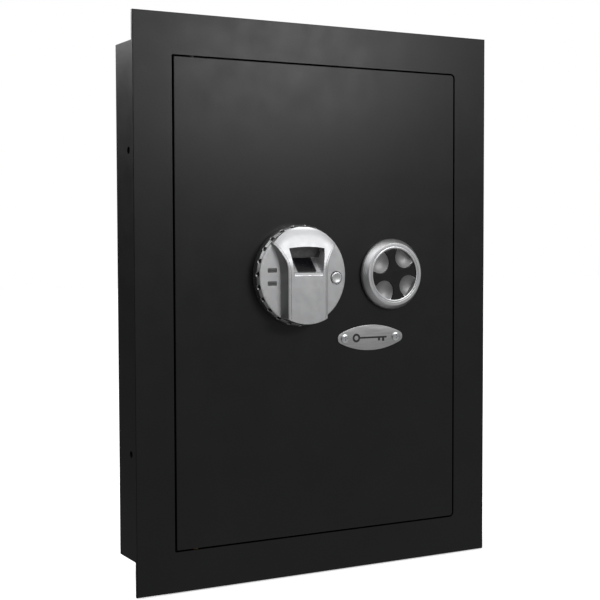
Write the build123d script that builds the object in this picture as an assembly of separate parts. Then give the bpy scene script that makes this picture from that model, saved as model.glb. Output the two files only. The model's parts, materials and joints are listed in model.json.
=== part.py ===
"""Recessed wall safe with a fingerprint lock.

Millimetres. +X is to the right of someone facing the door, +Y goes into the wall, +Z is up.
The origin is on the wall surface, at the centre of the cut-out that the body fills.
At rest the door is shut, the bolts are drawn and the solenoid is pulled in.
"""
from build123d import *
import math
import os

# ---- flange, body and door -------------------------------------------------------------------
FLANGE_W, FLANGE_H, FLANGE_T = 402, 550, 3.5
BODY_W, BODY_H, BODY_D, SHEET = 362, 511, 96, 2
OPENING_W, OPENING_H = 324, 472
OPENING_R_LATCH, OPENING_R_HINGE = 5, 1.2
GAP_HINGE, GAP = 2.0, 1.5
DOOR_T = 4.5
EDGE = 0.6  # radius on the visible sheet edges
STUD_HOLE_R, STUD_HOLE_Y, STUD_HOLE_Z = 3.5, 60, 149.5

FRONT = -FLANGE_T  # the door and the flange are flush
BACK = FRONT + DOOR_T  # back of the door panel
DOOR_L = -OPENING_W / 2 + GAP_HINGE
DOOR_R = OPENING_W / 2 - GAP
DOOR_TOP = OPENING_H / 2 - GAP
WALL_X = BODY_W / 2 - SHEET  # inner face of a side wall
WALL_Z = BODY_H / 2 - SHEET

# ---- door hinge ------------------------------------------------------------------------------
PIVOT_X, PIVOT_Y = DOOR_L + 22, FRONT + 8
PIN_R, RUNNING = 2.5, 0.05
KNUCKLE_W, KNUCKLE_L, BLOCK_L = 10, 30, 14

# ---- lock case on the back of the door -------------------------------------------------------
CASE_X0, CASE_X1, CASE_Z0, CASE_Z1, CASE_Y1 = -100, 151.5, -140, 175, 33
CASE_T, COVER_T = 1.5, 1.5

# ---- bolt work -------------------------------------------------------------------------------
KNOB_X, KNOB_Z = 81, 26
CRANK_R, KNOB_TURN = 16, 60
THROW = 2 * CRANK_R * math.sin(math.radians(KNOB_TURN / 2))
BOLT_R, BOLT_Y, BOLT_X0, BOLT_X1 = 8, 12, 120, 160
BOLT_Z = (KNOB_Z - 105, KNOB_Z, KNOB_Z + 105)
PLATE_Y0, PLATE_Y1 = 21, 24
CRANK_Y0, CRANK_Y1, CRANK_PIN_R = 25, 28, 2.5
STUD_X, STUD_Z = 103, (-5, 95)
SPINDLE_R = 5

# ---- knob ------------------------------------------------------------------------------------
KNOB_BASE_R, KNOB_FACE_R, KNOB_BOWL_R, KNOB_H = 36.3, 31.7, 26.4, 8.8
KNOB_Y = FRONT - 0.6  # the nylon washer holds it off the door
KNOB_REST = 10  # degrees that the grip stands anticlockwise of upright with the bolts drawn
SCOOP_R, SCOOP_OFF = 11, 21.2
FLOOR_H, GRIP_T = 6.6, 1.1  # height of the dish's floor over the knob's back, thickness of the grip
SCOOP_DEPTH = 4.4
SCREW_HEAD_H = 4  # where the head of the knob's screw bears, over the knob's back

# ---- fingerprint scanner, heights measured out from the door face, z and x from its centre ------
SCAN_X, SCAN_Z = -28.6, 26.5
RING_R, FACE_R, TEETH, TOOTH_TURN = 50, 48.2, 24, 12.5
SHOULDER_H, LIP_H = 9.1, 11.7  # heights between which the ring slopes in to the housing's edge
NECK_R = FACE_R - 2.2  # the housing under its overhanging edge
WING_H, BAND_H = 13, 23.5
FACE_BACK = 9.1  # height of the housing's back
CREST_HALF, FOOT_HALF = 22.4, 25.8  # half widths of the raised band
CREST_FLARE, FOOT_FLARE, FLARE_TOP = 33.6, 34.6, 35  # half widths where the band meets the rim
HOOD_LINE = ((BAND_H, 9), (20, 28.6), (WING_H, 47.6))  # (height, z) of the hood above the window
END_SLOPE = 2.6  # how far the band's lower end leans in
WIN_X, WIN_TOP_HALF, WIN_LOW_HALF, WIN_TOP, WIN_BOW, WIN_LEAN = 0.6, 19.5, 15.7, 28.6, 1.5, 3.2
SENSOR = ((20, 3), (6.5, 18))  # (height, z) of the lower and upper edge of the sloping sensor
GLASS_T, GLASS_HALF = 1.2, 10.5
WELL_BACK = 4.6  # height of the outside of the window's closed back
LED_X, LED_Z, LED_HALF_L, LED_HALF_H = -34.5, (-7.1, 5.7), 4.8, 2.1
BUTTON_X, BUTTON_Z, BUTTON_R, BUTTON_TRAVEL = 37.8, -2.8, 6, 1.2
PCB_H = (1.5, 3.1)

# ---- solenoid, key lock, battery, boards ---------------------------------------------------------
PLUNGER_X, PLUNGER_Y, PLUNGER_R, PLUNGER_TRAVEL = 98, 13, 4, 6.5
PLUNGER_TIP, LUG_Z0, LUG_Z1 = -30.5, -30, -20
COLLAR_Z = PLUNGER_TIP - 13.5
SOL_Z0, SOL_Z1 = -87, -52
KEY_X, KEY_Z, KEY_PLUG_R, KEY_BARREL_R = 56.6, -38.7, 5, 8
CAM_LEN, CAM_W = 36.5, 6
PLATE_HALF_L, PLATE_HALF_H, PLATE_END_R, PLATE_T = 39, 13.1, 5.6, 1
PLATE_SCREW_X = 30.6
BAT_X0, BAT_X1, BAT_Z0, BAT_Z1 = -90, -25, -114, -52
CELL_R, CELL_L = 7.2, 50
BOARD_X, BOARD_Z, BOARD_Y = (-90, 20), (70, 140), (11, 12.6)
RESET_X, RESET_Z = -62, 108
SHELF_Z, SHELF_T, SHELF_Y0 = (-85, 85), 1.5, 39


def block(x0, x1, y0, y1, z0, z1):
    """Box between two corners."""
    centre = Pos((x0 + x1) / 2, (y0 + y1) / 2, (z0 + z1) / 2)
    return centre * Box(abs(x1 - x0), abs(y1 - y0), abs(z1 - z0))


def rod_x(y, z, r, x0, x1):
    return Pos((x0 + x1) / 2, y, z) * Rot(0, 90, 0) * Cylinder(r, abs(x1 - x0))


def rod_y(x, z, r, y0, y1):
    return Pos(x, (y0 + y1) / 2, z) * Rot(90, 0, 0) * Cylinder(r, abs(y1 - y0))


def rod_z(x, y, r, z0, z1):
    return Pos(x, y, (z0 + z1) / 2) * Cylinder(r, abs(z1 - z0))


def out(h):
    """The y of a point h in front of the door face."""
    return FRONT - h


def front_plane(x, z, y):
    """A sketch plane that looks out of the door: its x is +X, its y is +Z, its normal is -Y."""
    return Plane(origin=(x, y, z), x_dir=(1, 0, 0), z_dir=(0, -1, 0))


def rounded_plate(x0, x1, y0, y1, z0, z1, r_left, r_right):
    """A plate in XZ whose corners are rounded, with its own radius at each end."""
    plate = block(x0, x1, y0, y1, z0, z1)
    uprights = plate.edges().filter_by(Axis.Y)
    plate = fillet(uprights.group_by(Axis.X)[0], r_left)
    return fillet(plate.edges().filter_by(Axis.Y).group_by(Axis.X)[-1], r_right)


def turned(points, x, z):
    """A solid of revolution about the Y line through (x, z), from (radius, y) points."""
    profile = make_face(Polyline(*[(r, y, 0) for r, y in points], close=True))
    return Pos(x, 0, z) * revolve(profile, Axis.Y, 360)


def hex_nut(x, z, flats, bore_r, y0, y1):
    side = extrude(front_plane(x, z, y1) * RegularPolygon(flats / 2, 6, major_radius=False), y1 - y0)
    return side - rod_y(x, z, bore_r, y0 - 1, y1 + 1)


def pan_screw(x, z, head_r, head_h, shank_r, y_seat, length, way):
    """A pan head screw along Y. way is +1 where the shank goes towards +Y, -1 towards -Y."""
    head = rod_y(x, z, head_r, *sorted((y_seat, y_seat - way * head_h)))
    rim = head.edges().sort_by(Axis.Y)[0 if way > 0 else -1]
    head = fillet(rim, head_h * 0.55)
    shank = rod_y(x, z, shank_r, *sorted((y_seat, y_seat + way * length)))
    top = y_seat - way * head_h
    slots = [
        block(x - a, x + a, *sorted((top, top + way * head_h * 0.55)), z - b, z + b)
        for a, b in ((head_r * 0.58, head_r * 0.13), (head_r * 0.13, head_r * 0.58))
    ]
    return head + shank - slots


def coil_spring(x, z, y, radius, wire, height, turns, axis):
    """A plain compression spring that starts at (x, y, z) and runs along axis."""
    helix = Helix(pitch=(height - 2 * wire) / turns, height=height - 2 * wire, radius=radius)
    ring = Plane(origin=helix @ 0, z_dir=helix % 0) * Circle(wire)
    spring = sweep(ring, path=helix)
    base = Plane(origin=(x, y, z), z_dir=axis)
    return base.location * Pos(0, 0, wire) * spring


def front_flange():
    plate = block(-FLANGE_W / 2, FLANGE_W / 2, FRONT, 0, -FLANGE_H / 2, FLANGE_H / 2)
    rim = plate.faces().sort_by(Axis.Y)[0].edges()
    plate = fillet(rim, EDGE)
    half_w, half_h = OPENING_W / 2, OPENING_H / 2
    hole = rounded_plate(
        -half_w, half_w, FRONT - 1, 1, -half_h, half_h, OPENING_R_HINGE, OPENING_R_LATCH
    )
    return plate - hole


def body_tray():
    """Back and four sides, folded from one sheet, with rounded bends at the back."""
    outer = block(-BODY_W / 2, BODY_W / 2, 0, BODY_D, -BODY_H / 2, BODY_H / 2)
    outer = fillet(outer.faces().sort_by(Axis.Y)[-1].edges(), 2 * SHEET)
    inner = block(-WALL_X, WALL_X, 0, BODY_D - SHEET, -WALL_Z, WALL_Z)
    inner = fillet(inner.faces().sort_by(Axis.Y)[-1].edges(), SHEET)
    holes = [
        rod_x(STUD_HOLE_Y, z, STUD_HOLE_R, side * (WALL_X - 1), side * (BODY_W / 2 + 1))
        for side in (-1, 1)
        for z in (-STUD_HOLE_Z, STUD_HOLE_Z)
    ]
    return outer - inner - holes


def hinge_blocks():
    """Two bored blocks on the back of the flange, above and below the door."""
    blocks = []
    for side in (-1, 1):
        z0, z1 = sorted((side * (OPENING_H / 2 + 0.5), side * (OPENING_H / 2 + BLOCK_L)))
        body = block(PIVOT_X - 8, PIVOT_X + 8, 0, PIVOT_Y + 5, z0, z1)
        blocks.append(body - rod_z(PIVOT_X, PIVOT_Y, PIN_R, z0 - 1, z1 + 1))
    return Compound(blocks)


def hinge_pins():
    top = OPENING_H / 2 + BLOCK_L
    length = BLOCK_L + KNUCKLE_L - 4
    return Compound(
        [
            chamfer(rod_z(PIVOT_X, PIVOT_Y, PIN_R, *span).edges().filter_by(GeomType.CIRCLE), 0.4)
            for span in ((top - length, top), (-top, -top + length))
        ]
    )


def hinge_knuckles():
    """Bored blocks welded to the back of the door, which turn on the pins."""
    ends = ((DOOR_TOP - KNUCKLE_L, DOOR_TOP), (-OPENING_H / 2 + 0.7, -DOOR_TOP + KNUCKLE_L))
    knuckles = []
    for z0, z1 in ends:
        body = block(PIVOT_X - KNUCKLE_W / 2, PIVOT_X + KNUCKLE_W / 2, BACK, PIVOT_Y + 4.5, z0, z1)
        outer = body.edges().filter_by(Axis.Z).group_by(Axis.Y)[-1]
        body = fillet(outer, 2)
        knuckles.append(body - rod_z(PIVOT_X, PIVOT_Y, PIN_R + RUNNING, z0 - 1, z1 + 1))
    return Compound(knuckles)


def hinge_washer():
    """Brass washer that carries the door on the lower block."""
    z0 = -OPENING_H / 2 - 0.5
    washer = rod_z(PIVOT_X, PIVOT_Y, 4.4, z0, z0 + 1.1)
    return washer - rod_z(PIVOT_X, PIVOT_Y, PIN_R + RUNNING, z0 - 1, z0 + 3)


def strike_bar():
    """The bar that the thrown bolts bear on, welded behind the flange."""
    x0 = OPENING_W / 2 + 1.5
    return block(x0, x0 + 12, 0, BOLT_Y - BOLT_R - 0.3, BOLT_Z[0] - 25, BOLT_Z[2] + 25)


def door_stops():
    x_weld = OPENING_W / 2 + 1.5
    stops = []
    for z in (-205, 205):
        foot = block(x_weld, x_weld + 12, 0, 2.6, z - 15, z + 15)
        stops.append(foot + block(154, x_weld + 12, 2.6, 4.6, z - 15, z + 15))
    return Compound(stops)


def door_stop_pads():
    return Compound([block(154.5, 160, BACK + 0.15, 2.6, z - 12, z + 12) for z in (-205, 205)])


def shelf(z):
    """A bent steel shelf with a lip folded down at the front and up at the back."""
    half, y1 = WALL_X - 1, BODY_D - SHEET - 1
    plate = block(-half, half, SHELF_Y0, y1, z - SHELF_T, z)
    lip = block(-half + 14, half - 14, SHELF_Y0, SHELF_Y0 + SHELF_T, z - 14, z - SHELF_T)
    stop = block(-half + 14, half - 14, y1 - SHELF_T, y1, z, z + 8)
    return plate + lip + stop


def shelf_brackets():
    """Four angle brackets, one under each end of each shelf, welded to the side walls."""
    brackets = []
    for z in SHELF_Z:
        for side in (-1, 1):
            wall_x = sorted((side * WALL_X, side * (WALL_X - SHELF_T)))
            ledge_x = sorted((side * WALL_X, side * (WALL_X - 12)))
            top = z - SHELF_T
            web = block(*wall_x, SHELF_Y0 + 4, BODY_D - 8, top - 12, top)
            brackets.append(web + block(*ledge_x, SHELF_Y0 + 4, BODY_D - 8, top - SHELF_T, top))
    return Compound(brackets)


def floor_mat():
    mat = block(-WALL_X + 2, WALL_X - 2, 12, BODY_D - SHEET - 2.5, -WALL_Z, -WALL_Z + 3)
    return fillet(mat.faces().sort_by(Axis.Z)[-1].edges(), 1)


def door_panel():
    panel = rounded_plate(
        DOOR_L, DOOR_R, FRONT, BACK, -DOOR_TOP, DOOR_TOP, OPENING_R_HINGE, OPENING_R_LATCH - GAP
    )
    panel = fillet(panel.faces().sort_by(Axis.Y)[0].outer_wire().edges(), EDGE)
    holes = [
        rod_y(KNOB_X, KNOB_Z, 8.05, FRONT - 1, BACK + 1),
        rod_y(SCAN_X, SCAN_Z, 9, FRONT - 1, BACK + 1),
        rod_y(KEY_X, KEY_Z, KEY_BARREL_R + 0.1, FRONT - 1, BACK + 1),
        rod_y(KEY_X, KEY_Z, 10.3, FRONT - 1, FRONT + 1.6),
    ]
    holes += [rod_y(x, z, 2.1, FRONT - 1, BACK + 1) for x, z in scanner_screw_places()]
    holes += [rod_y(x, KEY_Z, 1.55, FRONT - 1, BACK + 1) for x in plate_screw_places()]
    return panel - holes


def scanner_screw_places():
    return [(SCAN_X + 41 * c, SCAN_Z + 41 * s) for c, s in ((-0.707, 0.707), (0.707, -0.707))]


def plate_screw_places():
    return [KEY_X - PLATE_SCREW_X, KEY_X + PLATE_SCREW_X]


def case_lugs():
    """Centres of the bored lugs that take the inner cover's screws."""
    xs = (CASE_X0 + CASE_T + 5, CASE_X1 - CASE_T - 5)
    zs = (CASE_Z0 + CASE_T + 5, (CASE_Z0 + CASE_Z1) / 2 + 50, CASE_Z1 - CASE_T - 5)
    return [(x, z) for x in xs for z in zs]


def lock_case():
    """Four folded walls on the back of the door, round the lock."""
    case = block(CASE_X0, CASE_X1, BACK, CASE_Y1, CASE_Z0, CASE_Z1)
    case = fillet(case.edges().filter_by(Axis.Y), 4)
    inside = block(
        CASE_X0 + CASE_T, CASE_X1 - CASE_T, 0, CASE_Y1 + 1, CASE_Z0 + CASE_T, CASE_Z1 - CASE_T
    )
    case -= fillet(inside.edges().filter_by(Axis.Y), 4 - CASE_T)
    for x, z in case_lugs():
        case += block(x - 5, x + 5, CASE_Y1 - 9, CASE_Y1, z - 5, z + 5)
        case -= rod_y(x, z, 2.05, CASE_Y1 - 10, CASE_Y1 + 1)
    return case - [rod_x(BOLT_Y, z, 10, CASE_X1 - 5, CASE_X1 + 1) for z in BOLT_Z]


def bolt_bushes():
    """Flanged nylon bushes that guide the bolts through the case wall."""
    bushes = []
    for z in BOLT_Z:
        bush = rod_x(BOLT_Y, z, 10, CASE_X1 - CASE_T, CASE_X1)
        bush += rod_x(BOLT_Y, z, 11, CASE_X1, CASE_X1 + 1.5)
        bushes.append(bush - rod_x(BOLT_Y, z, BOLT_R + 0.1, CASE_X1 - 9, CASE_X1 + 9))
    return Compound(bushes)


def inner_cover():
    cover = block(CASE_X0, CASE_X1, CASE_Y1, CASE_Y1 + COVER_T, CASE_Z0, CASE_Z1)
    cover = fillet(cover.edges().filter_by(Axis.Y), 4)
    cover -= [rod_y(x, z, 2.3, CASE_Y1 - 1, CASE_Y1 + 3) for x, z in case_lugs()]
    cover -= rod_y(RESET_X, RESET_Z, 3.6, CASE_Y1 - 1, CASE_Y1 + 3)
    cover -= block(BAT_X0 + 3, BAT_X1 - 3, CASE_Y1 - 1, CASE_Y1 + 3, BAT_Z0 + 3, BAT_Z1 - 3)
    for side, x in ((-1, BAT_X0 - 4), (1, BAT_X1 + 4)):  # rails that hold the battery cover
        y0, y1 = CASE_Y1 + COVER_T, CASE_Y1 + COVER_T + 2.9
        web = sorted((x, x + side * 1.5))
        lip = sorted((x - side * 2.5, x + side * 1.5))
        cover += block(*web, y0, y1, BAT_Z0 - 4, BAT_Z1 + 4)
        cover += block(*lip, y1 - 1, y1, BAT_Z0 - 4, BAT_Z1 + 4)
    return cover


def inner_cover_screws():
    seat = CASE_Y1 + COVER_T
    return Compound([pan_screw(x, z, 3.6, 2, 2, seat, 9, -1) for x, z in case_lugs()])


def guide_studs():
    """Shouldered studs that the carriage slides on."""
    studs = []
    for z in STUD_Z:
        stud = rod_y(STUD_X, z, 5, BACK, PLATE_Y0 - 0.2)
        stud += rod_y(STUD_X, z, 3, PLATE_Y0 - 0.2, PLATE_Y1 + 0.2)
        studs.append(stud + rod_y(STUD_X, z, 6, PLATE_Y1 + 0.2, PLATE_Y1 + 2.2))
    return Compound(studs)


def knob_bush():
    bush = rod_y(KNOB_X, KNOB_Z, 8, FRONT + 0.05, BACK + 7)
    return bush - rod_y(KNOB_X, KNOB_Z, SPINDLE_R + RUNNING, FRONT - 1, BACK + 8)


def knob_washer():
    washer = rod_y(KNOB_X, KNOB_Z, 12, KNOB_Y + 0.05, FRONT)
    return washer - rod_y(KNOB_X, KNOB_Z, SPINDLE_R + 0.5, KNOB_Y - 1, FRONT + 1)


def ring_notches(y0, y1):
    """Round-bottomed notches cut from the sloping shoulder of the scanner's ring."""
    notch = rod_y(RING_R + 0.8, 0, 2.3, y0, y1)
    turns = [TOOTH_TURN + 360 * k / TEETH for k in range(TEETH)]
    return [Pos(SCAN_X, 0, SCAN_Z) * Rot(0, -turn, 0) * notch for turn in turns]


def scanner_ring():
    """The notched ring that carries the scanner on the door."""
    inner = FACE_R - 2.8
    profile = [
        (inner, out(0)), (RING_R - 1.2, out(0)), (RING_R, out(2.5)), (RING_R, out(SHOULDER_H)),
        (FACE_R + 0.2, out(LIP_H)), (NECK_R + 0.1, out(LIP_H)), (NECK_R + 0.1, out(FACE_BACK - 0.1)),
        (inner, out(FACE_BACK - 0.1)),
    ]
    ring = turned(profile, SCAN_X, SCAN_Z)
    for x, z in scanner_screw_places():
        lug = rod_y(x, z, 4, out(7), out(0))
        lug += rod_y(x + 0.08 * (x - SCAN_X), z + 0.08 * (z - SCAN_Z), 4, out(7), out(0))
        ring += lug & rod_y(SCAN_X, SCAN_Z, RING_R - 2, out(8), out(0))
        ring -= rod_y(x, z, 2, out(5.5), out(-1))
    return ring - ring_notches(out(LIP_H + 1), out(SHOULDER_H - 1.2))


def band_outline(half_w, flare_half, flare_z):
    """Outline of the raised band: straight below flare_z, then flaring out to the rim."""
    low, high, wide = -60, 60, 70
    shoulder = FLARE_TOP + 18
    bulge_x, bulge_z = (half_w + flare_half) / 2 - 1.4, (flare_z + FLARE_TOP) / 2 + 3.2
    return make_face(
        [
            Line((half_w, low), (half_w, flare_z)),
            ThreePointArc((half_w, flare_z), (bulge_x, bulge_z), (flare_half, FLARE_TOP)),
            Polyline(
                (flare_half, FLARE_TOP), (wide, shoulder), (wide, high), (-wide, high), (-wide, shoulder),
                (-flare_half, FLARE_TOP),
            ),
            ThreePointArc((-flare_half, FLARE_TOP), (-bulge_x, bulge_z), (-half_w, flare_z)),
            Polyline((-half_w, flare_z), (-half_w, low), (half_w, low)),
        ]
    )


def across_scanner(outline, half_w, x):
    """A prism along X from an outline in (height, z) about the scanner's centre."""
    side_plane = Plane(origin=(SCAN_X + x, 0, SCAN_Z), x_dir=(0, 1, 0), z_dir=(1, 0, 0))
    return extrude(side_plane * outline, half_w, both=True)


def band_side():
    """Side view of the band: level below, sloping away over the window as a hood."""
    crest = [(out(h), z) for h, z in HOOD_LINE]
    low_z = -60
    return make_face(
        [
            Polyline((out(FACE_BACK), crest[2][1]), (out(FACE_BACK), low_z), (out(BAND_H), low_z), crest[0]),
            ThreePointArc(*crest),
            Line(crest[2], (out(FACE_BACK), crest[2][1])),
        ]
    )


def scanner_face():
    """Silver housing: two low wings and a raised band with the finger window."""
    foot = front_plane(SCAN_X, SCAN_Z, out(WING_H - 1)) * band_outline(FOOT_HALF, FOOT_FLARE, -2)
    crest = front_plane(SCAN_X, SCAN_Z, out(BAND_H + 1)) * band_outline(CREST_HALF, CREST_FLARE, 3)
    rim_r = FACE_R - 0.3
    rim = [
        (0, out(LIP_H + 0.1)), (rim_r, out(LIP_H + 0.1)), (rim_r, out(WING_H)),
        (rim_r - END_SLOPE, out(BAND_H)), (0, out(BAND_H)),
    ]
    band = across_scanner(band_side(), 60, 0) & loft([foot, crest], ruled=True)
    face = rod_y(SCAN_X, SCAN_Z, NECK_R, out(LIP_H + 0.5), out(FACE_BACK))
    face += rod_y(SCAN_X, SCAN_Z, FACE_R, out(WING_H - 0.6), out(LIP_H + 0.05))
    face += rod_y(SCAN_X, SCAN_Z, FACE_R - 0.6, out(WING_H), out(WING_H - 0.6))
    face += band & turned(rim, SCAN_X, SCAN_Z)
    x = SCAN_X + WIN_X
    face += block(x - 17.5, x + 17.5, out(FACE_BACK + 1), out(WELL_BACK), SCAN_Z - 1, SCAN_Z + WIN_TOP + 2)
    face -= finger_window()
    bx, bz = SCAN_X + BUTTON_X, SCAN_Z + BUTTON_Z
    face -= rod_y(bx, bz, BUTTON_R + 0.2, out(WING_H + 1), out(8))
    face -= rod_y(bx, bz, BUTTON_R + 1.3, out(WING_H + 1), out(WING_H - 0.7))
    return face - [lens_shape(z) for z in LED_Z]


def lens_shape(z):
    x0, x1 = SCAN_X + LED_X - LED_HALF_L, SCAN_X + LED_X + LED_HALF_L
    z0, z1 = SCAN_Z + z - LED_HALF_H, SCAN_Z + z + LED_HALF_H
    return fillet(block(x0, x1, out(WING_H), out(WING_H - 2), z0, z1).edges().filter_by(Axis.Y), 1.2)


def led_lenses():
    return Compound([lens_shape(z) for z in LED_Z])


def finger_window():
    """The well that a fingertip goes into. Its floor slopes in from the sill to the back wall."""
    (h0, z0), (h1, z1) = SENSOR
    mouth_h, floor_h = BAND_H + 3, 5
    side = make_face(
        Polyline(
            (out(mouth_h), 0), (out(BAND_H - 0.5), 0.1), (out(h0), z0), (out(h1), z1),
            (out(h1 + 4.5), WIN_TOP), (out(mouth_h), WIN_TOP), close=True,
        )
    )
    mouth = front_plane(SCAN_X + WIN_X, SCAN_Z, out(mouth_h - 1)) * window_outline(0)
    floor = front_plane(SCAN_X + WIN_X, SCAN_Z, out(floor_h)) * window_outline(WIN_LEAN)
    return across_scanner(side, 30, 0) & loft([mouth, floor], ruled=True)


def window_outline(inset):
    low, top = WIN_LOW_HALF - inset, WIN_TOP_HALF - inset
    shoulder = WIN_TOP - WIN_BOW
    return make_face(
        [
            Polyline((-top, shoulder), (-low, -1), (low, -1), (top, shoulder)),
            ThreePointArc((top, shoulder), (0, WIN_TOP - 0.05), (-top, shoulder)),
        ]
    )


def sensor_glass():
    """A dark glass slab that lies on the window's sloping floor."""
    (h0, z0), (h1, z1) = SENSOR
    run, rise = h0 - h1, z1 - z0
    length = math.hypot(run, rise)
    lean = math.degrees(math.atan2(run, rise))
    slab = Pos(0, -GLASS_T / 2, length / 2) * Box(2 * GLASS_HALF, GLASS_T, length - 1.5)
    slab = fillet(slab.edges().filter_by(Axis.Y), 1.5)
    return Pos(SCAN_X + WIN_X, out(h0), SCAN_Z + z0) * Rot(-lean, 0, 0) * slab


def scanner_pcb():
    back, front = PCB_H
    board = rod_y(SCAN_X, SCAN_Z, FACE_R - 6, out(front), out(back))
    board -= [rod_y(x, z, 4.6, out(4), out(0)) for x, z in scanner_screw_places()]
    board += rod_y(SCAN_X + BUTTON_X, SCAN_Z + BUTTON_Z, 2.4, out(front + 0.5), out(front))
    return board + block(SCAN_X - 10, SCAN_X + 10, out(5), out(front), SCAN_Z - 24, SCAN_Z - 6)


def scanner_screws():
    return Compound([pan_screw(x, z, 3.4, 2, 1.95, BACK, 8, -1) for x, z in scanner_screw_places()])


def scanner_cable():
    """Four-core lead from the scanner board, through the door, up to the control board."""
    bend_y = 6
    corners = [(SCAN_X, out(PCB_H[0]), SCAN_Z), (SCAN_X, bend_y, SCAN_Z), (SCAN_X, bend_y, BOARD_Z[0] - 2)]
    route = FilletPolyline(*corners, radius=4.5)
    return sweep(Plane(origin=route @ 0, z_dir=route % 0) * Circle(1.5), path=route)


def board_posts():
    return [(x, z) for x in (BOARD_X[0] + 5, BOARD_X[1] - 5) for z in (BOARD_Z[0] + 5, BOARD_Z[1] - 5)]


def control_board():
    """Circuit board with its plug, processor, relay, buzzer and two capacitors."""
    y0, y1 = BOARD_Y
    low_z = BOARD_Z[0]
    board = block(*BOARD_X, y0, y1, *BOARD_Z)
    board -= [rod_y(x, z, 1.6, y0 - 1, y1 + 1) for x, z in board_posts()]
    parts = [
        block(SCAN_X - 4, SCAN_X + 4, 3.5, y0, low_z - 2, low_z + 8),
        block(-75, -57, y1, y1 + 3, low_z + 10, low_z + 28),
        block(-40, -22, y1, y1 + 9.4, low_z + 42, low_z + 56),
        block(-8, 6, y1, y1 + 11.4, low_z + 12, low_z + 24),
    ]
    parts += [rod_y(x, low_z + 34, 4, y1, y1 + 11.4) for x in (-10, 0)]
    for piece in parts:
        board += piece
    return board


def board_standoffs():
    seat = BOARD_Y[0]
    return Compound(
        [rod_y(x, z, 3, BACK, seat) + rod_y(x, z, 1.5, seat, seat + 3) for x, z in board_posts()]
    )


def battery_holder():
    tray = block(BAT_X0, BAT_X1, 14, CASE_Y1 - 1, BAT_Z0, BAT_Z1)
    return tray - block(BAT_X0 + 1.5, BAT_X1 - 1.5, 15.5, CASE_Y1, BAT_Z0 + 1.5, BAT_Z1 - 1.5)


def holder_feet():
    return [
        rod_y(x, z, 4, BACK, 14)
        for x in (BAT_X0 + 8, BAT_X1 - 8)
        for z in (BAT_Z0 + 8, BAT_Z1 - 8)
    ]


def battery_cells():
    pitch = (BAT_X1 - BAT_X0 - 3) / 4
    mid_z = (BAT_Z0 + BAT_Z1) / 2
    cells = []
    for k in range(4):
        x = BAT_X0 + 1.5 + pitch * (k + 0.5)
        up = 1 if k % 2 else -1
        body = rod_z(x, 15.7 + CELL_R, CELL_R, mid_z - CELL_L / 2, mid_z + CELL_L / 2 - 1.5)
        body = fillet(body.edges().filter_by(GeomType.CIRCLE), 0.6)
        cell = body + rod_z(x, 15.7 + CELL_R, 2.7, mid_z + CELL_L / 2 - 2, mid_z + CELL_L / 2)
        cells.append(cell if up > 0 else Pos(0, 0, 2 * mid_z) * mirror(cell, Plane.XY))
    return Compound(cells)


def battery_cover():
    y0 = CASE_Y1 + COVER_T + 0.2
    cover = block(BAT_X0 - 3.6, BAT_X1 + 3.6, y0, y0 + 1.5, BAT_Z0 - 4, BAT_Z1 + 4)
    ribs = [
        block(-70, -45, y0 + 1.5, y0 + 2.2, BAT_Z1 - 6 + dz, BAT_Z1 - 5 + dz) for dz in (0, 3, 6)
    ]
    for rib in ribs:
        cover += rib
    return cover


def solenoid_frame():
    """U-shaped steel yoke on the back of the door."""
    x0, x1 = PLUNGER_X - 10, PLUNGER_X + 10
    frame = block(x0, x1, BACK, BACK + 1.5, SOL_Z0, SOL_Z1)
    frame += block(x0, x1, BACK + 1.5, 20.4, SOL_Z0, SOL_Z0 + 2)
    frame += block(x0, x1, BACK + 1.5, 20.4, SOL_Z1 - 2, SOL_Z1)
    return frame - rod_z(PLUNGER_X, PLUNGER_Y, PLUNGER_R + 0.3, SOL_Z1 - 3, SOL_Z1 + 1)


def solenoid_coil():
    """Wound bobbin, with its fixed core at the bottom."""
    z0, z1 = SOL_Z0 + 2, SOL_Z1 - 2
    coil = rod_z(PLUNGER_X, PLUNGER_Y, 7, z0, z1)
    return coil - rod_z(PLUNGER_X, PLUNGER_Y, PLUNGER_R + 0.2, z0 + 5, z1 + 1)


def solenoid_plunger():
    top = rod_z(PLUNGER_X, PLUNGER_Y, PLUNGER_R, SOL_Z0 + 7.2, PLUNGER_TIP)
    top = chamfer(top.edges().filter_by(GeomType.CIRCLE).sort_by(Axis.Z)[-1], 1)
    return top + rod_z(PLUNGER_X, PLUNGER_Y, 7.5, COLLAR_Z, COLLAR_Z + 2)


def plunger_spring():
    height = COLLAR_Z - SOL_Z1
    return coil_spring(PLUNGER_X, SOL_Z1, PLUNGER_Y, 5.6, 0.4, height, 5, (0, 0, 1))


def button_spring():
    x, z = SCAN_X + BUTTON_X, SCAN_Z + BUTTON_Z
    return coil_spring(x, z, out(PCB_H[1]), 3, 0.25, 3.9, 3, (0, -1, 0))


def start_button():
    x, z = SCAN_X + BUTTON_X, SCAN_Z + BUTTON_Z
    cap = rod_y(x, z, BUTTON_R, out(WING_H + 0.9), out(7))
    cap = fillet(cap.edges().filter_by(GeomType.CIRCLE).sort_by(Axis.Y)[0], 0.8)
    cap += rod_y(x, z, BUTTON_R + 0.8, out(8.5), out(7))
    return cap + rod_y(x, z, 1.5, out(7), out(5.2))


def key_cylinder():
    """Barrel of the emergency lock: its head lies flush in the door, under the oval plate."""
    body = rod_y(KEY_X, KEY_Z, 10, FRONT + 0.05, FRONT + 1.6)
    body += rod_y(KEY_X, KEY_Z, KEY_BARREL_R, FRONT + 1.6, 9)
    return body - rod_y(KEY_X, KEY_Z, KEY_PLUG_R + RUNNING, FRONT - 1, 10)


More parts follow.
